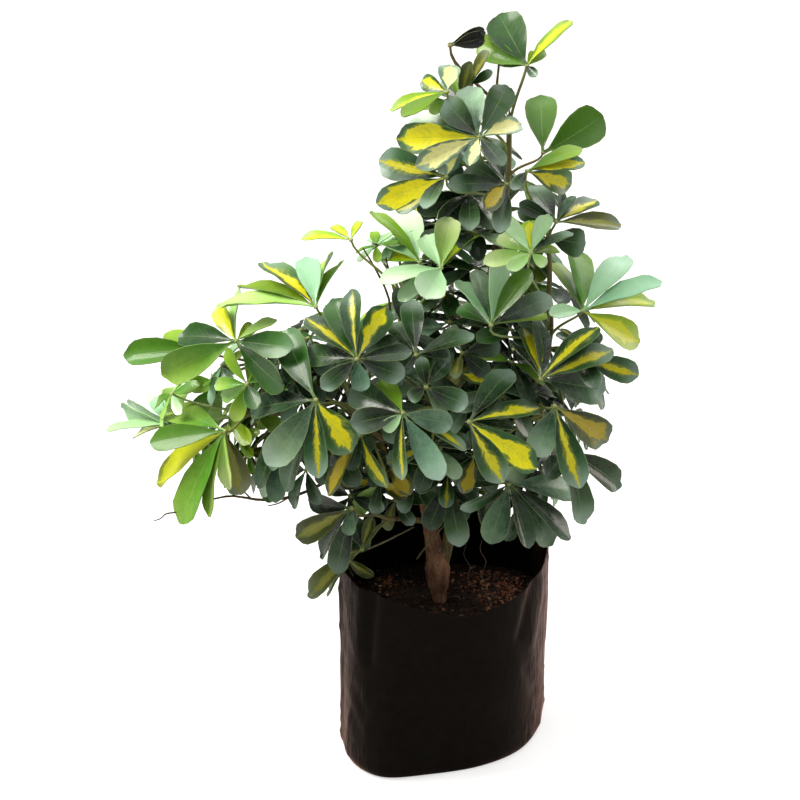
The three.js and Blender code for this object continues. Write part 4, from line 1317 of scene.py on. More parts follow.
    def add_undersides(self, growth: Growth) -> None:
        """Give the blades their thickness and their paler undersides.

        Args:
            growth: What has the blades.
        """
        blades, form = growth.blades, self.form
        twin = blades.verts.layers.int.new("twin")
        for number, vert in enumerate(blades.verts):
            vert[twin] = number
        blades.normal_update()
        lower = [vert.co - vert.normal * form.thick for vert in blades.verts]
        bmesh.ops.solidify(blades, geom=blades.faces[:], thickness=form.thick)
        blades.verts.ensure_lookup_table()
        pale, share = light_of(form.underside), form.underside_share
        for vert in blades.verts[len(lower):]:
            green, patch = vert[growth.green], vert[growth.patch]
            vert.co = lower[vert[twin]]
            vert[growth.green] = (*blend_of(green[:3], pale, share), 0.0)
            vert[growth.flush] = blend_of(vert[growth.flush], pale, share)
            vert[growth.patch] = (*blend_of(patch[:3], pale, form.underside_patch_share), patch[3])
        blades.verts.layers.int.remove(twin)


@dataclass
class Wood:
    """The trunk, thick at its foot, with the branches that the shoots grow from."""

    rows: tuple[tuple[float, float, float, float], ...] = (
        (-2, -20, 106, 6), (-3, -20, 152, 6), (-5, -19, 165, 7.4), (-6, -18, 180, 11.4),
        (-7, -18, 195, 12.8), (-9, -16, 210, 9.6), (-13, -13, 234, 7.8), (-18, -9, 268, 8),
        (-19, -8, 298, 8.4), (-12, -6, 328, 7.8), (-3, -4, 352, 7))
    trunk_sides: int = 26
    trunk_steps: int = 110
    limb_sides: int = 12
    limb_steps: int = 34
    trunk_bark: float = 0.9
    limb_bark: float = 0.42
    limbs_apart: float = 31.0
    bark_stretch: float = 0.45
    bark_layers: tuple[Flat, ...] = ((3.4, 0.5), (8.0, 0.9))
    ring_beat: float = 13.0
    ring_drift: Flat = (15, 2.5)
    ring_height: float = 0.6
    ring_power: int = 6
    trunk_age: float = 0.75
    trunk_greens: Flat = (200, 330)
    old_limb_age: float = 0.7
    young: tuple[str, ...] = ("second", "heart", "leftHigh", "leftMiddle", "rightUpright", "lowLeft")

    def radius(self, way: float) -> float:
        """Find the trunk's radius at a share of its line.

        Args:
            way: From 0 at the foot to 1 at the top.

        Returns:
            The radius.
        """
        steps = len(self.rows) - 1
        spot = min(way * steps, steps - 1e-6)
        index = int(spot)
        weight = smooth_step(spot - index, 0, 1)
        return self.rows[index][3] * (1 - weight) + self.rows[index + 1][3] * weight

    def scarred(self, point: Vector, middle: Vector, seed: float, deep: float) -> Vector:
        """Roughen a bar's point with bark and the rings that fallen leaves left.

        Args:
            point: The point on the bar's surface.
            middle: The bar's middle there.
            seed: What tells this bar from the others.
            deep: How deep the bark is.

        Returns:
            The moved point.
        """
        out = (point - middle).normalized()
        bark = layered(Vector((point.x + seed, point.y, point.z * self.bark_stretch)), self.bark_layers)
        size, drift = self.ring_drift
        level = point.z + drift * relief(point + Vector((seed, 0, 0)), size)
        ring = abs(math.sin(math.pi * level / self.ring_beat))
        return point + out * (deep * (bark + self.ring_height * (1 - ring) ** self.ring_power))

    def lay_barked(
        self, mesh: Mesh, template: Template, frames: Sequence[Matrix], seed: float, deep: float
    ) -> list[Vert]:
        """Lay a bar that is rough with bark."""
        return template.lay(mesh, lambda point: self.scarred(
            on_ring(frames, point), frames[round(point.z)].translation, seed, deep))

    def build(self, material: Material) -> None:
        """Build the wood.

        Args:
            material: Its bark.
        """
        mesh = bmesh.new()
        age = mesh.verts.layers.float.new("wood_age")
        frames = bar_frames(SmoothLine([row[:3] for row in self.rows]), self.radius, self.trunk_steps)
        trunk = bar_template(self.trunk_sides, self.trunk_steps)
        for vert in self.lay_barked(mesh, trunk, frames, 0.0, self.trunk_bark):
            vert[age] = self.trunk_age * smooth_step(vert.co.z, *self.trunk_greens)
        limb = bar_template(self.limb_sides, self.limb_steps)
        for number, (name, (line, (thick, thin))) in enumerate(LIMBS.items()):
            frames = bar_frames(
                SmoothLine(line), lambda way: thick + (thin - thick) * way, self.limb_steps)
            for vert in self.lay_barked(mesh, limb, frames, self.limbs_apart * number, self.limb_bark):
                vert[age] = 1.0 if name in self.young else self.old_limb_age
        crease_rims(mesh)
        finished("woody_stems", mesh, material, "bark", "woody_trunk")


@dataclass(frozen=True)
class Crumple:
    """A kind of crease in the film: its size and sharpness, and how high it stands.

    It stands by its height all round, and by its side height more beside the two side folds. Its
    pattern is scaled across and upright, and leans by the last two numbers.
    """

    size: float
    power: int
    height: float
    side_height: float = 0.0
    across: float = 1.0
    upright: float = 1.0
    lean: Flat = (0.0, 0.0)

    def stands(self, spot: Vector, side: float) -> float:
        """Find how far it stands out.

        Args:
            spot: A place on the film.
            side: How near that is to a side fold, from 0 to 1.

        Returns:
            Millimetres outwards.
        """
        lean, dip = self.lean
        x, y, z = spot.x * self.across, spot.y * self.across, spot.z * self.upright
        drawn = Vector((x + lean * spot.z, y, z - dip * spot.x))
        return (1 - abs(relief(drawn, self.size))) ** self.power * (self.height + self.side_height * side)


@dataclass
class GrowBag:
    """The black film bag: a thin lofted shell that sags between its two side folds."""

    foot_plan: tuple[Flat, ...] = (
        (-104, -30), (-93, -78), (-65, -104), (-14, -98), (38, -81), (79, -49), (101, -4),
        (105, 34), (86, 70), (46, 91), (-4, 97), (-54, 88), (-90, 58), (-104, 16))
    rim_plan: tuple[Flat, ...] = (
        (-104, -26), (-88, -61), (-50, -83), (-4, -89), (44, -80), (84, -48), (102, -10),
        (106, 27), (88, 60), (50, 82), (2, 90), (-46, 81), (-84, 50), (-102, 10))
    fold_height: float = 201.0
    front_sag: float = 27.0
    back_rise: float = 37.0
    lip_height: float = 166.0
    rim_bluntness: float = 1.5
    rim_ragged: Flat = (3, 1.6)
    rim_notches: float = 80.0
    film: float = 0.8
    sides: int = 168
    foot_rows: tuple[Flat, ...] = (
        (0, 0.955), (0.6, 0.968), (2.2, 0.982), (5, 0.991), (9, 0.997), (14, 1.0))
    wall_rows: int = 34
    lip_rows: int = 10
    pleats: Crumple = Crumple(26, 7, 0.08, 1.2, upright=0.3)
    slants: Crumple = Crumple(34, 9, 0.15, 1.3, upright=0.6, lean=(0.5, 0.35))
    folds: Crumple = Crumple(11, 6, 1.3, across=0.35)
    folds_end: Flat = (8, 46)
    bulge: Flat = (62, 1.3)
    bulge_out: float = 0.5
    side_power: int = 6
    side_crease: float = 1.6
    side_crease_reach: float = 0.007
    loose_from: Flat = (172, 215)
    flutter: tuple[Flat, Flat] = ((26, 2.6), (12, 1.2))
    deepest: float = 2.6
    flat_foot: Flat = (0, 8)
    tucks: tuple[tuple[Flat, Flat, float], ...] = (
        ((-70, 200), (-76, 120), 3.0), ((-83, 200), (-86, 130), -1.6), ((-90, 84), (-80, 62), 1.6),
        ((-94, 62), (-86, 44), 1.4), ((92, 198), (76, 136), 2.6), ((100, 180), (88, 120), -1.2),
        ((84, 96), (94, 60), 1.4))
    tuck_reach: float = 5.0

    def __post_init__(self) -> None:
        """Draw the two plans, and list the film's rows below its lip by height and share."""
        self.foot_line = SmoothLine([(x, y, 0) for x, y in self.foot_plan], closed=True)
        self.rim_line = SmoothLine([(x, y, 0) for x, y in self.rim_plan], closed=True)
        low = self.foot_rows[-1][0]
        self.rows = [*self.foot_rows] + [(low + (self.lip_height - low) * (row + 1) / self.wall_rows, 1.0)
                                         for row in range(self.wall_rows)]

    def rim_height(self, way: float) -> float:
        """Find the rim's height, from way 0 at the left fold round by the front."""
        change = -self.front_sag if way < 0.5 else self.back_rise
        return self.fold_height + change * (1 - abs(math.cos(TURN * way)) ** self.rim_bluntness)

    def plan(self, way: float, height: float) -> Vector:
        """Find a point of the bag's plan at a height."""
        rise = smooth_step(height, 0, self.lip_height)
        return self.foot_line.at(way % 1).lerp(self.rim_line.at(way % 1), rise)

    def crumple(self, way: float, spot: Vector) -> float:
        """Find how far the film stands out of its plan.

        Args:
            way: Round the bag.
            spot: The point of the plan, at its height.

        Returns:
            Millimetres outwards.
        """
        height, side = spot.z, abs(math.cos(TURN * way)) ** self.side_power
        out = layered(spot, [self.bulge]) + self.bulge_out
        out += self.pleats.stands(spot, side) + self.slants.stands(spot, side)
        out += self.folds.stands(spot, side) * (1 - smooth_step(height, *self.folds_end))
        for distance in (min(way, 1 - way), abs(way - 0.5)):
            out += self.side_crease * hill(distance, self.side_crease_reach)
        loose = smooth_step(height, *self.loose_from)
        broad, fine = self.flutter
        level = Vector((spot.x, spot.y, 0))
        out += loose * (layered(level, [broad]) + layered(spot, [fine])) + self.tucked(spot)
        return max(-self.deepest - loose, out) * smooth_step(height, *self.flat_foot)

    def tucked(self, spot: Vector) -> float:
        """Find how far the tucks beside the side folds draw the front film in.

        Args:
            spot: The point of the plan, at its height.

        Returns:
            Millimetres outwards, which is below 0 in a tuck.
        """
        if spot.y > 0:
            return 0.0
        flat, out = Vector((spot.x, spot.z)), 0.0
        for start, end, deep in self.tucks:
            _, way = geometry.intersect_point_line(flat, Vector(start), Vector(end))
            foot = Vector(start).lerp(Vector(end), min(1.0, max(0.0, way)))
            out -= deep * hill((flat - foot).length, self.tuck_reach)
        return out

    def on_film(self, point: Vector) -> Vector:
        """Find where a point of a unit bar goes on the film.

        Args:
            point: The point, whose height is the number of its row.

        Returns:
            Its place.
        """
        row, way = round(point.z), round_way(point.x, point.y)
        if row < len(self.rows):
            height, share = self.rows[row]
        else:
            rise = math.sin(math.pi / 2 * (row - len(self.rows) + 1) / self.lip_rows)
            ragged = layered(Vector((self.rim_notches * way, 3, 9)), [self.rim_ragged])
            top = self.rim_height(way) + ragged
            height, share = self.lip_height + (top - self.lip_height) * rise, 1.0
        flat = self.plan(way, height) * share
        spot = Vector((flat.x, flat.y, height))
        return spot + flat.normalized() * self.crumple(way, spot)

    def build(self, material: Material) -> None:
        """Build the bag.

        Args:
            material: Its film.
        """
        mesh = bmesh.new()
        bar_template(self.sides, len(self.rows) + self.lip_rows - 1).lay(mesh, self.on_film)
        lid = max(mesh.faces, key=lambda face: face.calc_center_median().z if len(face.verts) > 4 else -1)
        bmesh.ops.delete(mesh, geom=[lid], context="FACES_ONLY")
        mesh.normal_update()
        bmesh.ops.solidify(mesh, geom=mesh.faces[:], thickness=self.film)
        crease_rims(mesh)
        finished("bag_film", mesh, material, "film", "grow_bag")


@dataclass
class Soil:
    """The soil that fills the bag, mounded and uneven."""

    bag: GrowBag
    level: float = 154.0
    mound: float = 7.0
    swell: float = 1.6
    swell_beats: Flat = (3, 4)
    rough_layers: tuple[Flat, ...] = ((15, 1.5), (6, 1.1), (2.7, 0.9))
    inset: float = 2.6
    grid: int = 84
    skirt: tuple[float, ...] = (120.0, 60.0, 14.0, 4.0)
    skirt_share: float = 0.985
    rim_angle: float = 1.3
    search_steps: int = 4

    def surface(self, share: float, way: float) -> Vector:
        """Find a point of the rough surface.

        Args:
            share: From 0 in the middle to 1 at the film.
            way: Round the bag.

        Returns:
            The point.
        """
        flat = self.bag.plan(way, self.level)
        flat = flat * (share * (1 - self.inset / flat.length))
        height = self.level + self.mound * (1 - share * share)
        round_beats, outward_beat = self.swell_beats
        height += self.swell * math.sin(round_beats * TURN * way + outward_beat * share)
        rough = layered(Vector((flat.x, flat.y, 0)), self.rough_layers)
        return Vector((flat.x, flat.y, height + rough))

    def under(self, x: float, y: float) -> Flat:
        """Find the share and way of the bag's plan that a place has.

        Args:
            x: Where it is from left to right.
            y: Where it is from front to back.

        Returns:
            Its share and its way.
        """
        way = round_way(x, y)
        for _ in range(self.search_steps):
            flat = self.bag.plan(way, self.level)
            turn = math.atan2(flat.x * y - flat.y * x, flat.x * x + flat.y * y)
            way = (way + turn / TURN) % 1
        flat = self.bag.plan(way, self.level)
        return math.hypot(x, y) / (flat.length - self.inset), way

    def build(self, material: Material) -> None:
        """Build the soil's body: its surface, drawn down inside the film and closed below.

        Args:
            material: Its finish.
        """
        mesh = bmesh.new()
        bmesh.ops.create_grid(mesh, x_segments=self.grid, y_segments=self.grid, size=1.0)
        ways: dict[Point, float] = {}
        for vert in mesh.verts:
            x, y = vert.co.x, vert.co.y
            across, along = x * math.sqrt(1 - y * y / 2), y * math.sqrt(1 - x * x / 2)
            way = round_way(across, along)
            vert.co = self.surface(min(1.0, math.hypot(across, along)), way)
            if vert.is_boundary:
                ways[tuple(vert.co)] = way
        edges = [edge for edge in mesh.edges if edge.is_boundary]
        for level in self.skirt:
            grown = bmesh.ops.extrude_edge_only(mesh, edges=edges)["geom"]
            edges = [part for part in grown if isinstance(part, bmesh.types.BMEdge)]
            upper, ways = ways, {}
            for vert in (part for part in grown if isinstance(part, bmesh.types.BMVert)):
                way = upper[tuple(vert.co)]
                flat = self.bag.plan(way, level)
                flat = flat * (self.skirt_share - self.inset / flat.length)
                vert.co = (flat.x, flat.y, level)
                ways[tuple(vert.co)] = way
        bmesh.ops.contextual_create(mesh, geom=edges)
        bmesh.ops.recalc_face_normals(mesh, faces=mesh.faces)
        crease_rims(mesh, self.rim_angle)
        finished("soil_body", mesh, material, "soil", "potting_soil")


@dataclass
class Litter:
    """The chips, crumbs and dry roots on the soil.

    A cluster is a heap of chips: where it is seen, how far it spreads and how many it has. A pair is
    the least and the most of what is drawn, but for the knobs' size and height.
    """

    soil: Soil
    clusters: tuple[tuple[float, float, float, float, int], ...] = (
        (386, 583, 7, 5, 80), (500, 594, 15, 8, 290), (478, 578, 14, 5, 90), (516, 588, 8, 8, 90),
        (440, 590, 44, 14, 24))
    chip_shades: tuple[int, ...] = (
        0x8A4E34, 0xA6694A, 0x6A3C28, 0xC49474, 0x52342A, 0x965C42, 0x3A241C)
    chip_length: Flat = (1.0, 3.2)
    chip_width: Flat = (0.35, 0.7)
    chip_height: Flat = (0.6, 1.5)
    chip_mound: float = 5.0
    crumbs: int = 620
    crumb_shades: tuple[int, ...] = (0x17110D, 0x221813, 0x2E1F18, 0x3A261C, 0x100C0A)
    crumb_length: Flat = (0.8, 2.6)
    crumb_width: Flat = (0.6, 1)
    crumb_height: float = 0.7
    crumb_edge: float = 0.97
    roots: int = 14
    root_shades: tuple[int, ...] = (0x6A5A4C, 0x54443A, 0x7C6A5A)
    root_edge: float = 0.85
    root_bends: int = 3
    root_turn: Flat = (-0.9, 0.9)
    root_reach: Flat = (3, 8)
    root_radius: Flat = (0.3, 0.7)
    root_lift: float = 1.6
    root_dip: float = 0.6
    root_sides: int = 5
    root_steps: int = 8
    film_edge: float = 0.96
    tilt: Flat = (-0.5, 0.5)
    sink: float = 0.4
    knobbly: Flat = (0.7, 0.35)
    knobs_apart: float = 50.0
    seed: int = 5

    def __post_init__(self) -> None:
        """Start the mesh, the draws and the shapes that are laid again and again."""
        self.mesh = bmesh.new()
        self.shade = self.mesh.verts.layers.float_color.new("litter_shade")
        self.draw = random.Random(self.seed)
        self.lump = Template(
            lambda shape: bmesh.ops.create_icosphere(shape, subdivisions=1, radius=1.0))
        self.root = bar_template(self.root_sides, self.root_steps)

    def add_lump(self, share: float, way: float, size: Point, shade: int) -> None:
        """Lay one lump on the soil.

        Args:
            share: Its place, from 0 in the middle to 1 at the film.
            way: Its place round the bag.
            size: Half its length, width and height.
            shade: Its colour.
        """
        draw, shape = self.draw, Matrix.Diagonal(size)
        spin = (Matrix.Rotation(draw.random() * TURN, 3, "Z")
                @ Matrix.Rotation(draw.uniform(*self.tilt), 3, "X")
                @ Matrix.Rotation(draw.uniform(*self.tilt), 3, "Y"))
        middle = self.soil.surface(share, way) + UP * (size[2] * self.sink)
        off = Vector((draw.random() * self.knobs_apart, 0, 0))
        grain, knob = self.knobbly
        made = self.lump.lay(self.mesh, lambda point: middle + spin @ (
            shape @ (point * (1 + knob * relief(point + off, grain)))))
        for vert in made:
            vert[self.shade] = light_of(shade)

    def add_chips(self) -> None:
        """Heap chips of bark where they are seen."""
        draw = self.draw
        for across, down, wide, high, count in self.clusters:
            for _ in range(count):
                sight = EYE.sight(draw.gauss(across, wide), draw.gauss(down, high))
                spot = EYE.place + sight * (
                    (self.soil.level + self.chip_mound - EYE.place.z) / sight.z)
                share, way = self.soil.under(spot.x, spot.y)
                if share > self.film_edge:
                    continue
                length, shade = draw.uniform(*self.chip_length), draw.choice(self.chip_shades)
                width, height = length * draw.uniform(*self.chip_width), draw.uniform(*self.chip_height)
                self.add_lump(share, way, (length, width, height), shade)

    def add_crumbs(self) -> None:
        """Strew dark crumbs all over."""
        draw = self.draw
        for _ in range(self.crumbs):
            length = draw.uniform(*self.crumb_length)
            share, way = math.sqrt(draw.random()) * self.crumb_edge, draw.random()
            shade = draw.choice(self.crumb_shades)
            size = (length, length * draw.uniform(*self.crumb_width), length * self.crumb_height)
            self.add_lump(share, way, size, shade)

    def add_roots(self) -> None:
        """Lay dry roots whose ends go into the soil."""
        draw = self.draw
        for _ in range(self.roots):
            share, way = math.sqrt(draw.random()) * self.root_edge, draw.random()
            points = [self.soil.surface(share, way) - UP]
            heading = draw.random() * TURN
            for bend in range(1, self.root_bends + 1):
                heading += draw.uniform(*self.root_turn)
                onward = Vector((math.cos(heading), math.sin(heading), 0))
                reach = points[-1] + onward * draw.uniform(*self.root_reach)
                share, way = self.soil.under(reach.x, reach.y)
                lift = self.root_lift if bend < self.root_bends else -self.root_dip
                points.append(self.soil.surface(min(share, self.film_edge), way) + UP * lift)
            shade, radius = draw.choice(self.root_shades), draw.uniform(*self.root_radius)
            rings = bar_frames(SmoothLine(points), lambda way: radius, self.root_steps)
            for vert in lay_bar(self.mesh, self.root, rings):
                vert[self.shade] = light_of(shade)

    def build(self, material: Material) -> None:
        """Scatter all of it.

        Args:
            material: Its finish.
        """
        self.add_chips()
        self.add_crumbs()
        self.add_roots()
        for face in self.mesh.faces:
            face.smooth = len(face.verts) != 3
        finished("soil_litter", self.mesh, material, "soil")


@dataclass
class DryStems:
    """Bare and dry stems between the leaves and the soil, by the places where they are seen."""

    runs: tuple[tuple[tuple[Point, ...], float, float, int], ...] = (
        (((417, 559, -30), (430, 541, -36), (441, 529, -34), (447, 521, -24)), 0.9, 0.7, 0x6F6A48),
        (((368, 549, -66), (384, 542, -56), (400, 534, -40), (414, 527, -14)), 1.0, 0.8, 0x8C8468),
        (((487, 590, -40), (482, 576, -36), (486, 562, -34), (480, 550, -34), (482, 540, -32)), 0.45,
         0.3, 0x6A5A4E),
        (((472, 586, -30), (468, 577, -26), (470, 566, -20), (464, 556, -14), (466, 544, -8)), 0.4,
         0.3, 0x74665A),
        (((345, 470, -30), (318, 486, -38), (290, 497, -42), (262, 500, -44), (232, 496, -46),
          (212, 499, -46)), 1.9, 1.0, 0x6A5A38),
        (((290, 497, -42), (279, 503, -44), (268, 506, -46)), 1.0, 0.6, 0x74603C),
        (((250, 498, -45), (243, 490, -47), (239, 482, -48)), 1.0, 0.7, 0x6C7038),
        (((391, 322, -16), (388, 296, -14), (376, 270, -10), (363, 248, -6)), 1.3, 0.8, 0x7A6238),
        (((402, 330, -14), (398, 306, -12), (391, 280, -8), (386, 258, -6)), 1.3, 0.9, 0x6A5A34),
        (((458, 345, -4), (454, 322, -4), (447, 298, -2), (442, 276, 0)), 1.3, 0.9, 0x5A4630),
        (((497, 128, 8), (498, 104, 8), (497, 82, 8), (501, 54, 16), (506, 40, 20)), 1.5, 1.0, 0x6F6A2E),
        (((240, 470, -50), (232, 448, -46), (222, 428, -40)), 1.5, 1.1, 0x6A5232),
        (((262, 478, -44), (250, 452, -40), (240, 424, -34)), 1.4, 1.0, 0x5E5230),
        (((176, 512, -62), (166, 514, -60), (160, 519, -60), (154, 521, -60)), 0.9, 0.5, 0x5A5048),
    )
    sides: int = 7
    steps: int = 14
    crook: float = 0.5
    crook_sizes: Flat = (6, 7)
    crooks_apart: float = 90.0

    def build(self, material: Material) -> None:
        """Build the stems.

        Args:
            material: Their finish.
        """
        mesh = bmesh.new()
        shade = mesh.verts.layers.float_color.new("litter_shade")
        bar = bar_template(self.sides, self.steps)
        one, other = self.crook_sizes
        for places, thick, thin, colour in self.runs:
            line = SmoothLine([EYE.seen_at(*place) for place in places])
            rings = bar_frames(line, lambda way: thick + (thin - thick) * way, self.steps)
            for vert in lay_bar(mesh, bar, rings):
                aside = relief(vert.co, one), 0, relief(vert.co + UP * self.crooks_apart, other)
                vert.co += Vector(aside) * self.crook
                vert[shade] = light_of(colour)
        crease_rims(mesh)
        finished("dry_stems", mesh, material, "bark")


# Finishes

Socket = bpy.types.NodeSocket
Sockets = dict[str, Socket]
Value = Socket | float | tuple[float, ...]
Tint = tuple[float, int]
WHITE = light_of(0xFFFFFF)


class Nodes:
    """The nodes of a material, a group or the sky, written in short."""

    def __init__(self, tree: Tree) -> None:
        """Keep the tree."""
        self.tree = tree

    def feed(self, node: bpy.types.Node, inputs: dict[str | int, Value]) -> None:
        """Give a node's inputs their values.

        Args:
            node: The node.
            inputs: A socket, number or colour for each of them, by name or index.
        """
        for name, value in inputs.items():
            if isinstance(value, Socket):
                self.tree.links.new(value, node.inputs[name])
            else:
                node.inputs[name].default_value = value

    def add(
        self, kind: str, inputs: dict[str | int, Value] | None = None, **settings: object
    ) -> bpy.types.Node:
        """Add a node.

        Args:
            kind: Its type, without ShaderNode in front.
            inputs: What its inputs get.
            settings: Its own properties.

        Returns:
            The node.
        """
        node = self.tree.nodes.new(f"ShaderNode{kind}")
        for name, value in settings.items():
            setattr(node, name, value)
        self.feed(node, inputs or {})
        return node

    def math(self, operation: str, *values: Value) -> Socket:
        """Do one sum on values."""
        return self.add("Math", dict(enumerate(values)), operation=operation).outputs[0]

    def times(self, *values: Value) -> Socket:
        """Multiply values."""
        return reduce(lambda one, other: self.math("MULTIPLY", one, other), values)

    def plus(self, *values: Value) -> Socket:
        """Add values."""
        return reduce(lambda one, other: self.math("ADD", one, other), values)

    def minus(self, one: Value, other: Value) -> Socket:
        """Take a value from another."""
        return self.math("SUBTRACT", one, other)

    def size(self, value: Value) -> Socket:
        """Drop a value's sign."""
        return self.math("ABSOLUTE", value)

    def wave(self, value: Value, beat: float) -> Socket:
        """Run a value through a sine, at so many radians for each of its units."""
        return self.math("SINE", self.times(value, beat))

    def rise(self, value: Value, low: float, high: float, start: float = 0.0, end: float = 1.0) -> Socket:
        """Map a value smoothly from one range to another."""
        inputs = dict(enumerate((value, low, high, start, end)))
        return self.add("MapRange", inputs, interpolation_type="SMOOTHSTEP").outputs[0]

    def fall(self, value: Value, low: float, high: float) -> Socket:
        """Fall smoothly from 1 to 0 as a value goes through a range."""
        return self.rise(value, low, high, 1.0, 0.0)

    def blend(self, share: Value, one: Value, other: Value) -> Socket:
        """Mix two colours."""
        return self.add("Mix", {0: share, 6: one, 7: other}, data_type="RGBA").outputs[2]

    def tinted(self, colour: Socket, mask: Socket, share: float, tint: int) -> Socket:
        """Tint a colour where a mask says, by a share."""
        return self.blend(self.times(mask, share), colour, light_of(tint))

    def split(self, vector: Socket) -> tuple[Socket, ...]:
        """Take a vector or a colour apart."""
        return tuple(self.add("SeparateXYZ", {0: vector}).outputs)

    def join(self, *parts: Value) -> Socket:
        """Put a vector together from its three parts."""
        return self.add("CombineXYZ", dict(enumerate(parts))).outputs[0]

    def noise(self, vector: Socket, scale: Value, detail: float = 2.0, rough: float = 0.5) -> Socket:
        """Read noise from 0 to 1."""
        inputs = {"Vector": vector, "Scale": scale, "Detail": detail, "Roughness": rough}
        return self.add("TexNoise", inputs).outputs[0]

    def cells(self, vector: Socket, scale: float) -> Sockets:
        """Read a pattern of cells."""
        return self.add("TexVoronoi", {"Vector": vector, "Scale": scale}).outputs

    def layer(self, name: str) -> Sockets:
        """Read one of the mesh's own layers."""
        return self.add("Attribute", attribute_name=name, attribute_type="GEOMETRY").outputs

    def group(self, tree: Tree, **inputs: Value) -> Sockets:
        """Place a group with its own values."""
        return self.add("Group", inputs, node_tree=tree).outputs


class Group(Nodes):
    """A shader node group under way, whose outputs are all numbers."""

    def __init__(self, name: str, **takes: str) -> None:
        """Start the group.

        Args:
            name: Its name.
            takes: The type of each of its inputs.
        """
        super().__init__(bpy.data.node_groups.new(name, "ShaderNodeTree"))
        for label, kind in takes.items():
            self.tree.interface.new_socket(name=label, in_out="INPUT", socket_type=f"NodeSocket{kind}")
        start = self.tree.nodes.new("NodeGroupInput")
        self.take = {label: start.outputs[label] for label in takes}

    def give(self, **made: Socket) -> Tree:
        """Give the group its outputs.

        Args:
            made: What each of them puts out.

        Returns:
            The group.
        """
        for label in made:
            self.tree.interface.new_socket(name=label, in_out="OUTPUT", socket_type="NodeSocketFloat")
        self.feed(self.tree.nodes.new("NodeGroupOutput"), made)
        return self.tree


@cache
def grain_group() -> Tree:
    """Build the grain: uneven light and dark with a fine height, at a given scale.

    Returns:
        The group.
    """
    group = Group("surface_grain", Vector="Vector", Scale="Float")
    spot, scale = group.take["Vector"], group.take["Scale"]
    broad = group.noise(spot, scale, 3.0, 0.55)
    fine = group.noise(spot, group.times(scale, 5.3), 2.0, 0.6)
    both = group.plus(group.times(broad, 0.65), group.times(fine, 0.35))
    return group.give(Tone=group.rise(both, 0.32, 0.68), Height=both)


@cache
def dust_group() -> Tree:
    """Build the dust: pale specks and a film of dust, most on what faces up.

    Returns:
        The group.
    """
    group = Group("settled_dust", Vector="Vector", Amount="Float")
    spot = group.take["Vector"]
    normal = group.add("NewGeometry").outputs["Normal"]
    upward = group.rise(group.split(normal)[2], -0.2, 0.9, 0.25, 1.0)
    cloud = group.rise(group.noise(spot, 38.0, 4.0, 0.6), 0.42, 0.78)
    speck = group.rise(group.noise(spot, 520.0), 0.64, 0.76)
    both = group.plus(group.times(cloud, 0.6), group.times(speck, 0.5))
    return group.give(Mask=group.times(both, upward, group.take["Amount"]))


@cache
def rib_group() -> Tree:
    """Build a leaflet's midrib and the veins that run from it to the margin.

    Returns:
        The group.
    """
    group = Group("leaflet_ribs", Place="Vector")
    across, along, luck = group.split(group.take["Place"])
    aside = group.size(across)
    rib = group.times(group.fall(aside, 0.01, 0.065), group.rise(along, 0.55, 1.0, 1.0, 0.25))
    phase = group.minus(group.times(along, 9.5), group.times(aside, 1.9))
    phase = group.plus(phase, group.times(luck, 3.7))
    vein = group.fall(group.math("PINGPONG", phase, 0.5), 0.0, 0.11)
    vein = group.times(vein, group.rise(aside, 0.35, 1.0, 1.0, 0.15))
    foot = group.fall(along, 0.1, 0.17)
    return group.give(Rib=group.math("MAXIMUM", rib, foot), Vein=vein, Phase=phase)


@cache
def patch_group() -> Tree:
    """Build the patch along a leaflet's midrib, whose edge runs out along the veins.

    Returns:
        The group.
    """
    group = Group("leaflet_patch", Place="Vector", Phase="Float", Reach="Float")
    phase, reach = group.take["Phase"], group.take["Reach"]
    across, along, luck = group.split(group.take["Place"])
    off = group.size(group.plus(across, group.times(group.wave(luck, 31.0), 0.3, reach)))
    broad = group.join(group.times(across, 1.2), group.times(along, 3.4), luck)
    torn = group.noise(group.join(phase, group.times(group.size(across), 1.6), luck), 1.9)
    limit = group.times(
        reach, group.rise(along, 0.04, 0.3, 0.5, 1.0), group.rise(along, 0.74, 1.0, 1.0, 0.1),
        group.rise(group.noise(broad, 1.0, 1.0), 0.25, 0.75, 0.5, 1.45))
    edge = group.minus(group.minus(off, limit), group.times(group.minus(torn, 0.5), 0.5))
    some = group.rise(reach, 0.0, 0.05)
    return group.give(Patch=group.times(group.fall(edge, -0.03, 0.045), some),
                      Fringe=group.times(group.fall(edge, 0.02, 0.3), some), Tear=torn)


class Skin(Nodes):
    """A material under way: its nodes, the place on its piece in metres, and its grain there."""

    def __init__(self, name: str, grain_scale: float) -> None:
        """Start the material.

        Args:
            name: Its name.
            grain_scale: The scale of its grain.
        """
        self.material = bpy.data.materials.new(name)
        self.material.use_nodes = True
        super().__init__(self.material.node_tree)
        self.spot = self.add("TexCoord").outputs["Object"]
        self.tone, self.height = self.grain(grain_scale, self.spot)

    def grain(self, scale: float, spot: Socket) -> tuple[Socket, ...]:
        """Place the grain at a scale, and give its tone and its height."""
        return tuple(self.group(grain_group(), Vector=spot, Scale=scale))

    def drawn(self, scale: Point, turn: Point = (0.0, 0.0, 0.0)) -> Socket:
        """Stretch and turn the place on the piece."""
        return self.add("Mapping", {"Vector": self.spot, "Rotation": turn, "Scale": scale}).outputs[0]

    def finish(self, inputs: dict[str, Value]) -> Material:
        """Give the shader its inputs and the material back."""
        self.feed(self.tree.nodes["Principled BSDF"], inputs)
        return self.material


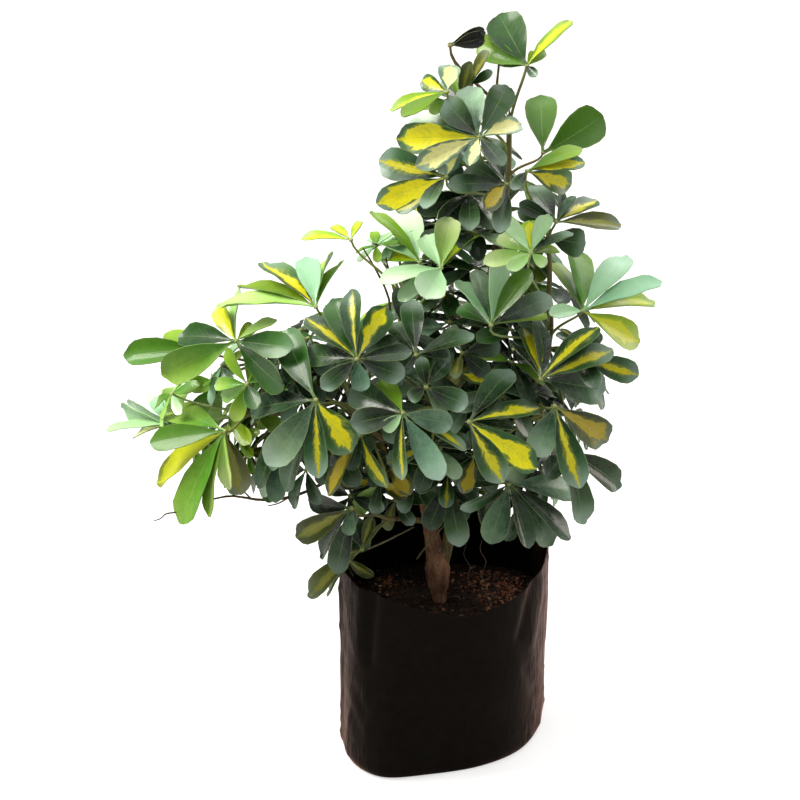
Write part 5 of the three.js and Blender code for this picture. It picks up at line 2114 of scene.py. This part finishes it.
@dataclass(frozen=True)
class Finish:
    """What the finishes of the plant and the bag have in common: grain, dust, roughness, relief.

    The roughness runs between its two numbers with the grain. A tint is its share and its colour,
    and the relief its strength and its depth. The even inputs are the same all over.
    """

    name: str
    grain_scale: float
    rough: Flat
    dust: Tint
    relief: Flat
    even: tuple[tuple[str, Value], ...] = ()

    def pattern(self, skin: Skin) -> tuple[Socket, Socket]:
        """Draw the finish's own pattern."""
        raise NotImplementedError

    def roughness(self, skin: Skin) -> Socket:
        """Give the roughness."""
        return skin.rise(skin.tone, 0.0, 1.0, *self.rough)

    def make(self) -> Material:
        """Make the material.

        Returns:
            The material.
        """
        skin = Skin(self.name, self.grain_scale)
        colour, height = self.pattern(skin)
        amount, tone = self.dust
        dust = skin.group(dust_group(), Vector=skin.spot, Amount=amount)["Mask"]
        strength, depth = self.relief
        bump = {"Strength": strength, "Distance": depth, "Height": height}
        return skin.finish({
            "Base Color": skin.blend(dust, colour, light_of(tone)), "Roughness": self.roughness(skin),
            "Normal": skin.add("Bump", bump).outputs[0], **dict(self.even)})


@dataclass(frozen=True)
class BladeFinish(Finish):
    """The leaflets' glossy blade, which reads its colours from the mesh's own layers.

    Its green lightens towards the tip, partly its own tone and partly painted sheen, and one half is painted
    lighter than the other as painted light. A patch lies along the midrib, and glossy tips get a painted
    highlight. Its two roughnesses are those of a matt and of a fully glossy leaflet.
    """

    grain_rough: float = 0.12
    underside_rough: float = 0.22
    sheen_flush_start: float = 0.15
    sheen_flush_power: float = 1.5
    sheen_flush_spread: Flat = (0.2, 1.05)
    flush_grain: float = 0.18
    painted_half_light: float = 0.16
    lime: float = 0.35
    fringe: float = 0.6
    vein: Tint = (0.035, 0xA8C09A)
    vein_depth: float = 0.35
    painted_tip_sheen: Tint = (0.5, 0xB4C6BC)
    painted_tip_sheen_start: float = 0.66
    torn_lime: float = 0.35
    fleck: float = 0.26
    rib: Tint = (0.2, 0xA9C07A)
    rib_depth: float = 0.7
    margin: Tint = (0.25, 0x8FA060)

    def pattern(self, skin: Skin) -> tuple[Socket, Socket]:
        """Draw the finish's own pattern.

        Args:
            skin: The material under way.

        Returns:
            The colour under the dust, and the height.
        """
        place = skin.layer("leaf_place")["Vector"]
        across, along, luck = skin.split(place)
        green, flush, yellow = map(skin.layer, ("leaf_green", "leaf_flush", "leaf_patch"))
        ribs = skin.group(rib_group(), Place=place)
        patch = skin.group(patch_group(), Place=place, Phase=ribs["Phase"], Reach=yellow["Alpha"])
        # Painted sheen: each leaflet's green lightens towards its tip, partly its own tone change
        own = skin.rise(skin.wave(luck, 57.0), -1.0, 1.0, *self.sheen_flush_spread)
        tip_sheen_share = skin.math("POWER", skin.rise(along, self.sheen_flush_start, 1.0), self.sheen_flush_power)
        # The last term paints one half of each leaflet lighter and the other darker: painted light and shade
        share = skin.plus(
            skin.times(tip_sheen_share, own), skin.times(skin.tone, self.flush_grain),
            skin.times(skin.wave(luck, 83.0), across, self.painted_half_light))
        body = skin.blend(share, green["Color"], flush["Color"])
        lime = skin.blend(self.lime, flush["Color"], yellow["Color"])
        body = skin.blend(skin.times(patch["Fringe"], self.fringe), body, lime)
        body = skin.tinted(body, ribs["Vein"], *self.vein)
        # Painted highlight: a pale tint on the tips, stronger on glossier leaflets
        painted_tip_sheen = skin.times(skin.rise(along, self.painted_tip_sheen_start, 1.0), own, flush["Alpha"])
        body = skin.tinted(body, painted_tip_sheen, *self.painted_tip_sheen)
        warm = skin.rise(patch["Tear"], 0.4, 0.75, 0.0, self.torn_lime)
        warm = skin.blend(warm, yellow["Color"], lime)
        drawn = skin.join(skin.times(across, 5.0), skin.times(along, 2.6), luck)
        fleck = skin.rise(skin.noise(drawn, 1.6, 3.0), 0.6, 0.74, 0.0, self.fleck)
        body = skin.blend(patch["Patch"], body, skin.blend(fleck, warm, flush["Color"]))
        body = skin.tinted(body, ribs["Rib"], *self.rib)
        margin = skin.rise(skin.size(across), 0.9, 1.0)
        body = skin.tinted(body, margin, *self.margin)
        height = skin.minus(
            skin.times(skin.height, 0.5), skin.times(ribs["Vein"], self.vein_depth))
        return body, skin.minus(height, skin.times(ribs["Rib"], self.rib_depth))

    def roughness(self, skin: Skin) -> Socket:
        """Give the roughness, by each leaflet's gloss.

        Args:
            skin: The material under way.

        Returns:
            The roughness.
        """
        matt, glossy = self.rough
        under = skin.minus(1.0, skin.layer("leaf_green")["Alpha"])
        gloss = skin.times(skin.layer("leaf_flush")["Alpha"], matt - glossy)
        return skin.plus(skin.minus(matt, gloss), skin.times(skin.tone, self.grain_rough),
                         skin.times(under, self.underside_rough))


@dataclass(frozen=True)
class StalkFinish(Finish):
    """The green stalks' and stems' skin, browned in places."""

    brown: Tint = (0.5, 0x7A5F38)

    def pattern(self, skin: Skin) -> tuple[Socket, Socket]:
        """Draw the colour under the dust, and the height."""
        shade = skin.layer("stalk_shade")["Color"]
        return skin.tinted(shade, skin.tone, *self.brown), skin.height


@dataclass(frozen=True)
class BarkFinish(Finish):
    """The wood's bark, tan and furrowed when old and olive when young."""

    stretch: float = 0.28
    streak_scale: float = 150.0
    old: tuple[int, int] = (0x4A2D1F, 0x94694A)
    young: tuple[int, int] = (0x3E3520, 0x6E6238)
    pore_scale: float = 330.0
    pore: Tint = (0.45, 0xB79A78)
    pore_height: float = 0.25

    def pattern(self, skin: Skin) -> tuple[Socket, Socket]:
        """Draw the finish's own pattern.

        Args:
            skin: The material under way.

        Returns:
            The colour under the dust, and the height.
        """
        drawn = skin.drawn((1.0, 1.0, self.stretch))
        streak, furrow = skin.grain(self.streak_scale, drawn)
        old, young = (skin.blend(streak, *map(light_of, tones)) for tones in (self.old, self.young))
        body = skin.blend(skin.layer("wood_age")["Fac"], old, young)
        pore = skin.fall(skin.cells(drawn, self.pore_scale)["Distance"], 0.1, 0.26)
        height = skin.plus(
            furrow, skin.times(skin.height, 0.5), skin.times(pore, self.pore_height))
        return skin.tinted(body, pore, *self.pore), height


@dataclass(frozen=True)
class FilmFinish(Finish):
    """The bag's black film with its fine wrinkles, and a brown painted sheen beside its side folds."""

    blacks: tuple[int, int] = (0x090907, 0x100F0C)
    stretch: float = 0.22
    slant: Point = (0.0, 0.6, 0.3)
    slant_stretch: float = 0.3
    slant_share: float = 0.5
    painted_side_sheen: Tint = (0.1, 0x6C473A)

    def wrinkles(self, skin: Skin, spot: Socket, scale: float, detail: float, width: float) -> Socket:
        """Draw thin wrinkles where a noise crosses its middle."""
        return skin.fall(skin.size(skin.minus(skin.noise(spot, scale, detail), 0.5)), 0.0, width)

    def pattern(self, skin: Skin) -> tuple[Socket, Socket]:
        """Draw the finish's own pattern.

        Args:
            skin: The material under way.

        Returns:
            The colour under the dust, and the height.
        """
        upright = skin.drawn((1.0, 1.0, self.stretch))
        slanted = skin.drawn((1.0, 1.0, self.slant_stretch), self.slant)
        crease = skin.plus(
            self.wrinkles(skin, upright, 34.0, 3.0, 0.1),
            skin.times(self.wrinkles(skin, slanted, 62.0, 2.0, 0.07), self.slant_share))
        aside = skin.size(skin.split(skin.spot)[0])
        # Painted sheen: brown streaks near the bag's left and right ends, standing in for reflections there
        painted_side_sheen = skin.rise(skin.noise(slanted, 26.0, 4.0, 0.65), 0.4, 0.66)
        painted_side_sheen = skin.times(painted_side_sheen, skin.rise(aside, 0.07, 0.1))
        body = skin.blend(skin.tone, *map(light_of, self.blacks))
        height = skin.plus(skin.times(crease, skin.rise(aside, 0.05, 0.09, 0.2, 1.0)),
                           skin.times(skin.height, 0.5))
        return skin.tinted(body, painted_side_sheen, *self.painted_side_sheen), height


@dataclass(frozen=True)
class SoilFinish(Finish):
    """The dark, crumbly soil with a few red and pale crumbs."""

    browns: tuple[int, int] = (0x1C150F, 0x302118)
    crumb_scale: float = 260.0
    red: Tint = (0.55, 0x5A3022)
    pale: Tint = (0.4, 0x8C7A68)

    def pattern(self, skin: Skin) -> tuple[Socket, Socket]:
        """Draw the finish's own pattern.

        Args:
            skin: The material under way.

        Returns:
            The colour under the dust, and the height.
        """
        crumbs = skin.cells(skin.spot, self.crumb_scale)
        chance = skin.split(crumbs["Color"])[0]
        body = skin.blend(skin.tone, *map(light_of, self.browns))
        body = skin.tinted(body, skin.rise(chance, 0.88, 0.97), *self.red)
        body = skin.tinted(body, skin.fall(chance, 0.0, 0.03), *self.pale)
        return body, skin.minus(skin.height, crumbs["Distance"])


@dataclass(frozen=True)
class FibreFinish(Finish):
    """The chips', crumbs' and dry stems' dull fibre, which reads each one's own colour."""

    dark: float = 0.6
    dark_tone: int = 0x17100C

    def pattern(self, skin: Skin) -> tuple[Socket, Socket]:
        """Draw the colour under the dust, and the height."""
        shade = skin.layer("litter_shade")["Color"]
        dark = skin.blend(self.dark, shade, light_of(self.dark_tone))
        return skin.blend(skin.tone, dark, shade), skin.height


@dataclass(frozen=True)
class FloorFinish:
    """The studio's plain pale floor, which glows a little for the camera."""

    grain_scale: float = 5.0
    pales: tuple[int, int] = (0xB2B1AF, 0xB7B6B4)
    rough: float = 0.9
    glow: float = 0.58

    def make(self) -> Material:
        """Make the material.

        Returns:
            The material.
        """
        skin = Skin("pale_floor", self.grain_scale)
        body = skin.blend(skin.tone, *map(light_of, self.pales))
        glow = skin.times(skin.add("LightPath").outputs["Is Camera Ray"], self.glow)
        return skin.finish({"Base Color": body, "Roughness": self.rough,
                            "Emission Color": WHITE, "Emission Strength": glow})


BLADE_SKIN = BladeFinish(
    "leaf_blade", grain_scale=130.0, rough=(0.5, 0.2), dust=(0.1, 0xC9CFC6), relief=(0.4, 0.0005),
    even=(("Specular IOR Level", 0.16), ("Coat Weight", 0.32), ("Coat Roughness", 0.15)))
STALK_SKIN = StalkFinish(
    "leaf_stalk", grain_scale=210.0, rough=(0.42, 0.6), dust=(0.2, 0xC8C6B0), relief=(0.5, 0.0008))
BARK = BarkFinish(
    "plant_bark", grain_scale=420.0, rough=(0.72, 0.95), dust=(0.35, 0xA9927A), relief=(0.9, 0.0014))
BLACK_FILM = FilmFinish(
    "bag_film", grain_scale=90.0, rough=(0.3, 0.44), dust=(0.03, 0x6A574A), relief=(0.3, 0.001),
    even=(("IOR", 1.35), ("Sheen Weight", 0.7), ("Sheen Roughness", 0.3),
          ("Sheen Tint", light_of(0xC68A74)), ("Specular IOR Level", 0.1),
          ("Specular Tint", (1.0, 0.78, 0.68, 1.0))))
DARK_SOIL = SoilFinish(
    "potting_soil", grain_scale=160.0, rough=(0.86, 1.0), dust=(0.08, 0x7A6656), relief=(1.0, 0.003),
    even=(("Specular IOR Level", 0.12),))
DRY_FIBRE = FibreFinish(
    "dry_fibre", grain_scale=380.0, rough=(0.75, 0.95), dust=(0.2, 0x9A8876), relief=(0.8, 0.001),
    even=(("Specular IOR Level", 0.2),))


# Studio


@dataclass(frozen=True)
class Lamp:
    """A round soft lamp: where it hangs, how wide and strong it is, and its colour."""

    name: str
    place: Point
    width: float
    power: float
    colour: Point

    def hang(self, aim: Vector) -> None:
        """Hang the lamp.

        Args:
            aim: The point that it lights.
        """
        data = bpy.data.lights.new(self.name, "AREA")
        data.shape = "DISK"
        data.size, data.energy, data.color = self.width, self.power, self.colour
        lamp = bpy.data.objects.new(self.name, data)
        lamp.location = self.place
        lamp.rotation_euler = (aim - lamp.location).to_track_quat("-Z", "Y").to_euler()
        bpy.context.scene.collection.objects.link(lamp)


@dataclass
class Studio:
    """The pale floor, the soft lights and the camera, in metres.

    The sky lights the plant little from the horizon and much from above, and is white to the camera.
    """

    floor_reach: float = 14.0
    horizon: float = 0.22
    zenith: float = 2.5
    sky_power: float = 3.0
    aim: Point = (-0.04, 0.0, 0.38)
    lamps: tuple[Lamp, ...] = (
        Lamp("window", (-2.1, 0.3, 2.3), 1.5, 96.0, (1.0, 0.97, 0.91)),
        Lamp("back_window", (1.2, 1.9, 2.2), 1.6, 20.0, (1.0, 0.99, 0.97)),
        Lamp("right_strip", (1.8, 0.5, 0.6), 0.8, 8.0, (1.0, 0.9, 0.84)),
    )

    def add_floor(self, material: Material) -> None:
        """Lay the floor.

        Args:
            material: Its finish.
        """
        mesh = bmesh.new()
        bmesh.ops.create_grid(mesh, x_segments=2, y_segments=2, size=self.floor_reach)
        data = bpy.data.meshes.new("studio_floor")
        mesh.to_mesh(data)
        mesh.free()
        data.materials.append(material)
        piece = bpy.data.objects.new("studio_floor", data)
        bpy.context.scene.collection.objects.link(piece)

    def add_sky(self) -> None:
        """Light the plant from all round."""
        world = bpy.data.worlds.new("studio_light")
        world.use_nodes = True
        nodes = Nodes(world.node_tree)
        rise = nodes.split(nodes.add("TexCoord").outputs["Generated"])[2]
        rise = nodes.math("POWER", nodes.math("MAXIMUM", rise, 0.0), self.sky_power)
        light = nodes.add("MapRange", dict(enumerate((rise, 0.0, 1.0, self.horizon, self.zenith))))
        to_camera = nodes.add("LightPath").outputs["Is Camera Ray"]
        nodes.feed(world.node_tree.nodes["Background"], {
            "Color": WHITE, "Strength": nodes.math("MAXIMUM", light.outputs[0], to_camera)})
        bpy.context.scene.world = world

    def build(self, floor: Material) -> None:
        """Set the studio up.

        Args:
            floor: The floor's finish.
        """
        self.add_floor(floor)
        for lamp in self.lamps:
            lamp.hang(Vector(self.aim))
        self.add_sky()
        bpy.context.scene.view_settings.view_transform = "Standard"
        EYE.add_camera()


def main() -> None:
    """Build the bag, the plant and the studio."""
    logging.basicConfig(level=logging.INFO, format="%(name)s: %(message)s")
    fibre = DRY_FIBRE.make()
    bag = GrowBag()
    bag.build(BLACK_FILM.make())
    soil = Soil(bag)
    soil.build(DARK_SOIL.make())
    Litter(soil).build(fibre)
    Wood().build(BARK.make())
    blade, stalk = BLADE_SKIN.make(), STALK_SKIN.make()
    foliage = Foliage()
    for plan in SHOOTS:
        foliage.build(plan, blade, stalk)
    DryStems().build(fibre)
    Studio().build(FloorFinish().make())


if __name__ == "__main__":
    main()
